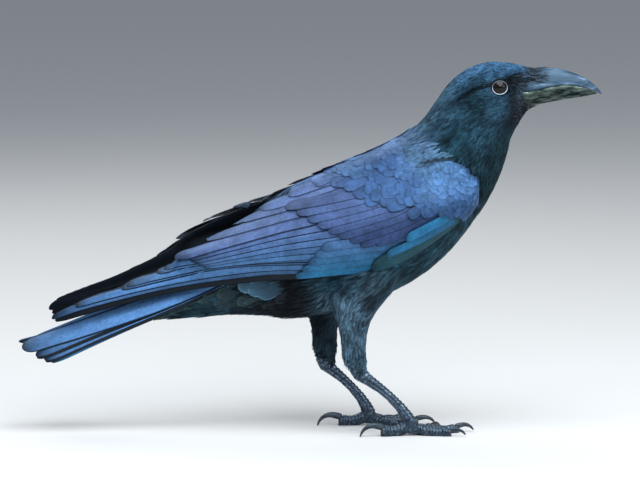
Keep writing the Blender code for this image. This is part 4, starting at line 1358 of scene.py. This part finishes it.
# Stiff bristles lie forward over the base of the bill and the nostrils, curl round the corner of the mouth
# and fringe the chin. Those at the corner of the mouth and some others are grey, a painted glint.
GLINT_GREY = (0.10, 0.15, 0.21)
LIE_OF_THE_BRISTLES = {
    "over the ridge": ((169, 293), 350, 5.0, 0.5, 0.9, 0.4, INK),
    "above the nostril": ((171, 288), 354, 16.0, 0.55, 1.0, 0.6, INK),
    "over the nostril": ((171, 284), 4, 22.0, 0.55, 1.0, 0.8, INK),
    "below the nostril": ((171, 279.5), 16, 13.0, 0.5, 1.0, 0.7, INK),
    "before the eye": ((162, 283), 350, 8.0, 0.6, 0.9, 0.5, INK),
    "corner of the mouth": ((166, 274), 318, 8.0, 0.4, 1.5, 0.7, GLINT_GREY),
    "below the corner": ((168, 268), 340, 4.5, 0.6, 0.9, 0.5, INK),
    "chin": ((171, 259), 346, 9.0, 0.5, 1.0, 0.9, INK),
    "under the chin": ((168, 254), 338, 8.0, 0.6, 0.9, 0.6, INK),
}


def joined_ground(name, pieces):
    """A ground for feathers that run over from one piece to the next."""
    shape = bmesh.new()
    for piece in pieces:
        shape.from_mesh(piece.data)
    mesh = as_mesh(name, shape, turned_out=False)
    mesh.attributes.remove(mesh.attributes["outward"])
    give(mesh, "outward", even_normals(mesh, 3))
    return placed(name, mesh)


face = joined_ground("face", [skin] + bills)


def bristles_can_grow(places, triangles):
    """Only round the base of the bill, clear of the eyes."""
    good = (places[:, 0] > np.interp(places[:, 2], [284, 290], [160, 168])) & (places[:, 2] > 250)
    good &= (places[:, 0] < BILL_BASE_X) | (places[:, 2] > 278) | (places[:, 2] < 260)
    return good & clear_of_eyes(places, EYE_OPENING + 2)


roots = rooted(skin, LIE_OF_THE_BRISTLES, 200000, bristles_can_grow, 0.16)
# painted glint: some bristles lightened to grey
glinting_strands = rng.random(len(roots["dyes"])) < 0.28
roots["dyes"][glinting_strands] = np.maximum(roots["dyes"][glinting_strands], np.array(GLINT_GREY) * 0.7)
bristle = dressed("bristle", 8, 0, 0.4, 0.3, 0.2, 0.0, 0.36, 0.2, 0.2, 0.0)
coated("bristles", WISP, bristle, face, roots, uneven=0.4, ragged=0.9)
bpy.data.objects.remove(face)

# --- the legs -------------------------------------------------------------------------------------
# Bare from the heel down: one scaly skin over shank and toes, with broad plates down the front of the
# shank and over each toe and pads below, and horny claws set in the toe tips.
LEG_GRAIN = 0.5
TOES = ("middle", "inner", "outer", "hind")
SHANK_PLATE, TOE_PLATE, PAD = 3.4, 2.5, 7.5
BEAD_WAVES = np.array([[2.1, -1.2], [1.3, 2.2], [1.9, 1.7]])


def leg_lines(name):
    """The middle lines of the shank and of each toe, as pairs of ends."""
    shank = read(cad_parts["tarsus_" + name].data) / MM
    heel = shank[shank[:, 2] > 54].mean(0)
    ankle = shank[shank[:, 2] < 12].mean(0)
    lines = [(heel, ankle)]
    for toe in TOES:
        low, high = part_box(f"claw_{toe}_{name}")
        claw = np.array((low + high) / 2 / MM)
        claw[2] = ankle[2]
        lines.append((ankle, claw))
    return lines


def along_lines(places, lines):
    """For each place the nearest line, how far along it the place lies and how far above it."""
    best = np.full(len(places), np.inf)
    run, which = np.zeros(len(places)), np.zeros(len(places), int)
    for i, (start, end) in enumerate(lines):
        way = end - start
        length = np.linalg.norm(way)
        share = np.clip((places - start) @ way / length**2, 0, 1)
        off = np.linalg.norm(places - start - share[:, None] * way, axis=1)
        closer = off < best
        best[closer], run[closer], which[closer] = off[closer], (share * length)[closer], i
    return which, run


# the plates' lightness carries a painted highlight on the bulge of each plate
leg_scales = horny(
    "leg_scales", (0.008, 0.014, 0.024), (0.16, 0.21, 0.28), 520, 0.30, 0.3, marked=("plates", 2.2, 0.02)
)
claw_horn = horny("claw_horn", (0.012, 0.014, 0.018), (0.16, 0.17, 0.19), 420, 0.3, 0.3, (0.5, 1, 1), 0.70)
for name in WING_SIDES:
    nodes = ["tarsus_" + name] + [f"toe_{toe}_{name}" for toe in TOES]
    lines = leg_lines(name)
    leg = joined_copy("leg_skin_" + name, nodes, puffed=0.25)
    remeshed(leg, LEG_GRAIN, 7)
    places = read(leg.data) / MM
    outward = even_normals(leg.data, 4)
    which, run = along_lines(places, lines)
    pitch = np.where(which == 0, SHANK_PLATE, TOE_PLATE)
    seam = np.abs(np.sin(np.pi * run / pitch))
    facing = np.where(which == 0, outward[:, 0], outward[:, 2])
    on_front = eased(-0.2, 0.3, facing)
    beads = eased(0.02, 0.4, np.abs(np.sin(places @ BEAD_WAVES)).prod(1))
    booted = (which == 0) * eased(48, 42, places[:, 2]) * eased(12, 18, places[:, 2])
    splits = np.minimum(np.abs(facing - 0.1), np.abs(facing + 0.6))
    beads = beads * (1 - booted) + booted * (0.25 + 0.55 * eased(0.02, 0.16, splits))
    relief = on_front * eased(0, 0.6, seam) + (1 - on_front) * beads
    streaks = booted * np.exp(-(((splits - 0.2) / 0.1) ** 2))
    # painted highlight: the plates paler on their bulges, darker in their seams, and paler still at the heel
    pale_heel = 0.55 + 0.9 * (which == 0) * eased(44, 50, places[:, 2])
    pale = np.clip(relief, 0, 1) ** 2.5 * pale_heel * (1 - 0.6 * booted)
    pads = np.abs(np.sin(np.pi * run / PAD)) ** 0.6 * eased(0.2, 0.8, -outward[:, 2]) * (which > 0)
    places = places + outward * (0.6 * (relief - 0.6) + 0.5 * (pads - 0.3) - 0.25)[:, None]
    places[:, 2] += 6 * eased(54.5, 57.2, places[:, 2])
    places[:, 2] = np.maximum(places[:, 2], 0.05)
    moved(leg.data, places * MM)
    give(leg.data, "plates", pale + streaks, "FLOAT")
    leg.data.materials.append(leg_scales)
    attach(leg, "root")
    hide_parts(*nodes)
    claw_nodes = [f"claw_{toe}_{name}" for toe in TOES]
    claws = joined_copy("claws_" + name, claw_nodes, puffed=0.3)
    places = read(claws.data) / MM
    which, run = along_lines(places, lines[1:])
    for i, (start, end) in enumerate(lines[1:]):
        mine = which == i
        way = (end - start) / np.linalg.norm(end - start)
        back = 3.0 * eased(2.5, 0, run[mine] - run[mine].min())
        places[mine] -= way * back[:, None]
    moved(claws.data, places * MM)
    rounder = claws.modifiers.new("rounder", "SUBSURF")
    rounder.levels = rounder.render_levels = 2
    made_plain(claws)
    claws.data.shade_smooth()
    claws.data.materials.append(claw_horn)
    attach(claws, "root")
    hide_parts(*claw_nodes)

# Longer feathers hang from the lower thigh over the heel, lowest in front.
LIE_OF_THE_GARTERS = {
    "front of the right leg": ((45, 61), 276, 15.0, 1.5, 1.15, 0.9, DOVE),
    "back of the right leg": ((29, 62), 262, 7.0, 1.4, 1.15, 2.4, DOVE),
    "front of the left leg": ((21, 63), 276, 15.0, 1.5, 1.15, 0.9, DOVE),
    "back of the left leg": ((6, 64), 262, 7.0, 1.4, 1.15, 2.4, DOVE),
}


def garters_can_grow(places, triangles):
    return (places[:, 2] > 59.5) & (places[:, 2] < 74)


roots = rooted(skin, LIE_OF_THE_GARTERS, 120000, garters_can_grow, 0.1)
# painted shade on the left garters
roots["dyes"][roots["places"][:, 1] > 0] *= FAR_LEG_SHADE
leg_skins = [bpy.data.objects["leg_skin_" + name] for name in WING_SIDES]
ground = joined_ground("legs_and_skin", [skin] + leg_skins)
coated("garters", LOOSE, body_plumage, ground, roots, uneven=0.45)
bpy.data.objects.remove(ground)

# --- floor, light and camera ----------------------------------------------------------------------
# A pale matt studio floor that the bird stands on, under four broad soft lamps and a pale sky, and a camera
# beside its right flank that looks a little down on it.
CAMERA_FAR, CAMERA_RISE = 3.0, 6.0
VIEW_CENTRE = Vector((8.8, 0, 153.6)) * MM
VIEW_WIDTH = 0.512


def studio():
    floor_mesh = bpy.data.meshes.new("floor")
    floor_mesh.from_pydata([(-20, -20, 0), (20, -20, 0), (20, 20, 0), (-20, 20, 0)], [], [(0, 1, 2, 3)])
    floor = placed("floor", floor_mesh)
    paint = bpy.data.materials.new("floor_paint")
    paint.use_nodes = True
    paint.node_tree.nodes["Principled BSDF"].inputs["Base Color"].default_value = (0.62, 0.62, 0.61, 1)
    paint.node_tree.nodes["Principled BSDF"].inputs["Roughness"].default_value = 0.9
    floor_mesh.materials.append(paint)

    scene = bpy.context.scene
    scene.view_settings.view_transform = "Standard"
    world = bpy.data.worlds.new("studio_air")
    world.use_nodes = True
    world.node_tree.nodes["Background"].inputs["Color"].default_value = (0.80, 0.88, 1.0, 1)
    world.node_tree.nodes["Background"].inputs["Strength"].default_value = 0.38
    scene.world = world

    def lamp(name, place, aim, size, power, colour):
        light = bpy.data.lights.new(name, "AREA")
        light.shape = "RECTANGLE"
        light.size, light.size_y = size
        light.energy = power
        light.color = colour
        thing = bpy.data.objects.new(name, light)
        thing.location = place
        thing.rotation_euler = (Vector(aim) - Vector(place)).to_track_quat("-Z", "Y").to_euler()
        scene.collection.objects.link(thing)

    lamp("sky_lamp", (0.2, -0.9, 2.0), (0, 0, 0.15), (2.4, 1.6), 68, (0.90, 0.95, 1.0))
    lamp("window_lamp", (0.6, -2.2, 1.5), (0, 0, 0.2), (1.6, 0.9), 28, (0.94, 0.97, 1.0))
    lamp("far_lamp", (-0.8, 1.4, 1.8), (0, 0, 0.15), (1.6, 1.2), 16, (1.0, 0.97, 0.92))
    lamp("front_lamp", (1.8, -1.2, 0.9), (0.05, 0, 0.2), (1.0, 1.0), 8, (1.0, 0.98, 0.95))

    camera_data = bpy.data.cameras.new("camera")
    camera_data.lens = camera_data.sensor_width * CAMERA_FAR / VIEW_WIDTH
    camera_data.clip_start, camera_data.clip_end = 0.05, 100
    camera = bpy.data.objects.new("camera", camera_data)
    rise = math.radians(CAMERA_RISE)
    back = Vector((0, -math.cos(rise), math.sin(rise)))
    camera.location = VIEW_CENTRE + back * CAMERA_FAR
    camera.rotation_euler = (-back).to_track_quat("-Z", "Y").to_euler()
    scene.collection.objects.link(camera)
    scene.camera = camera


studio()
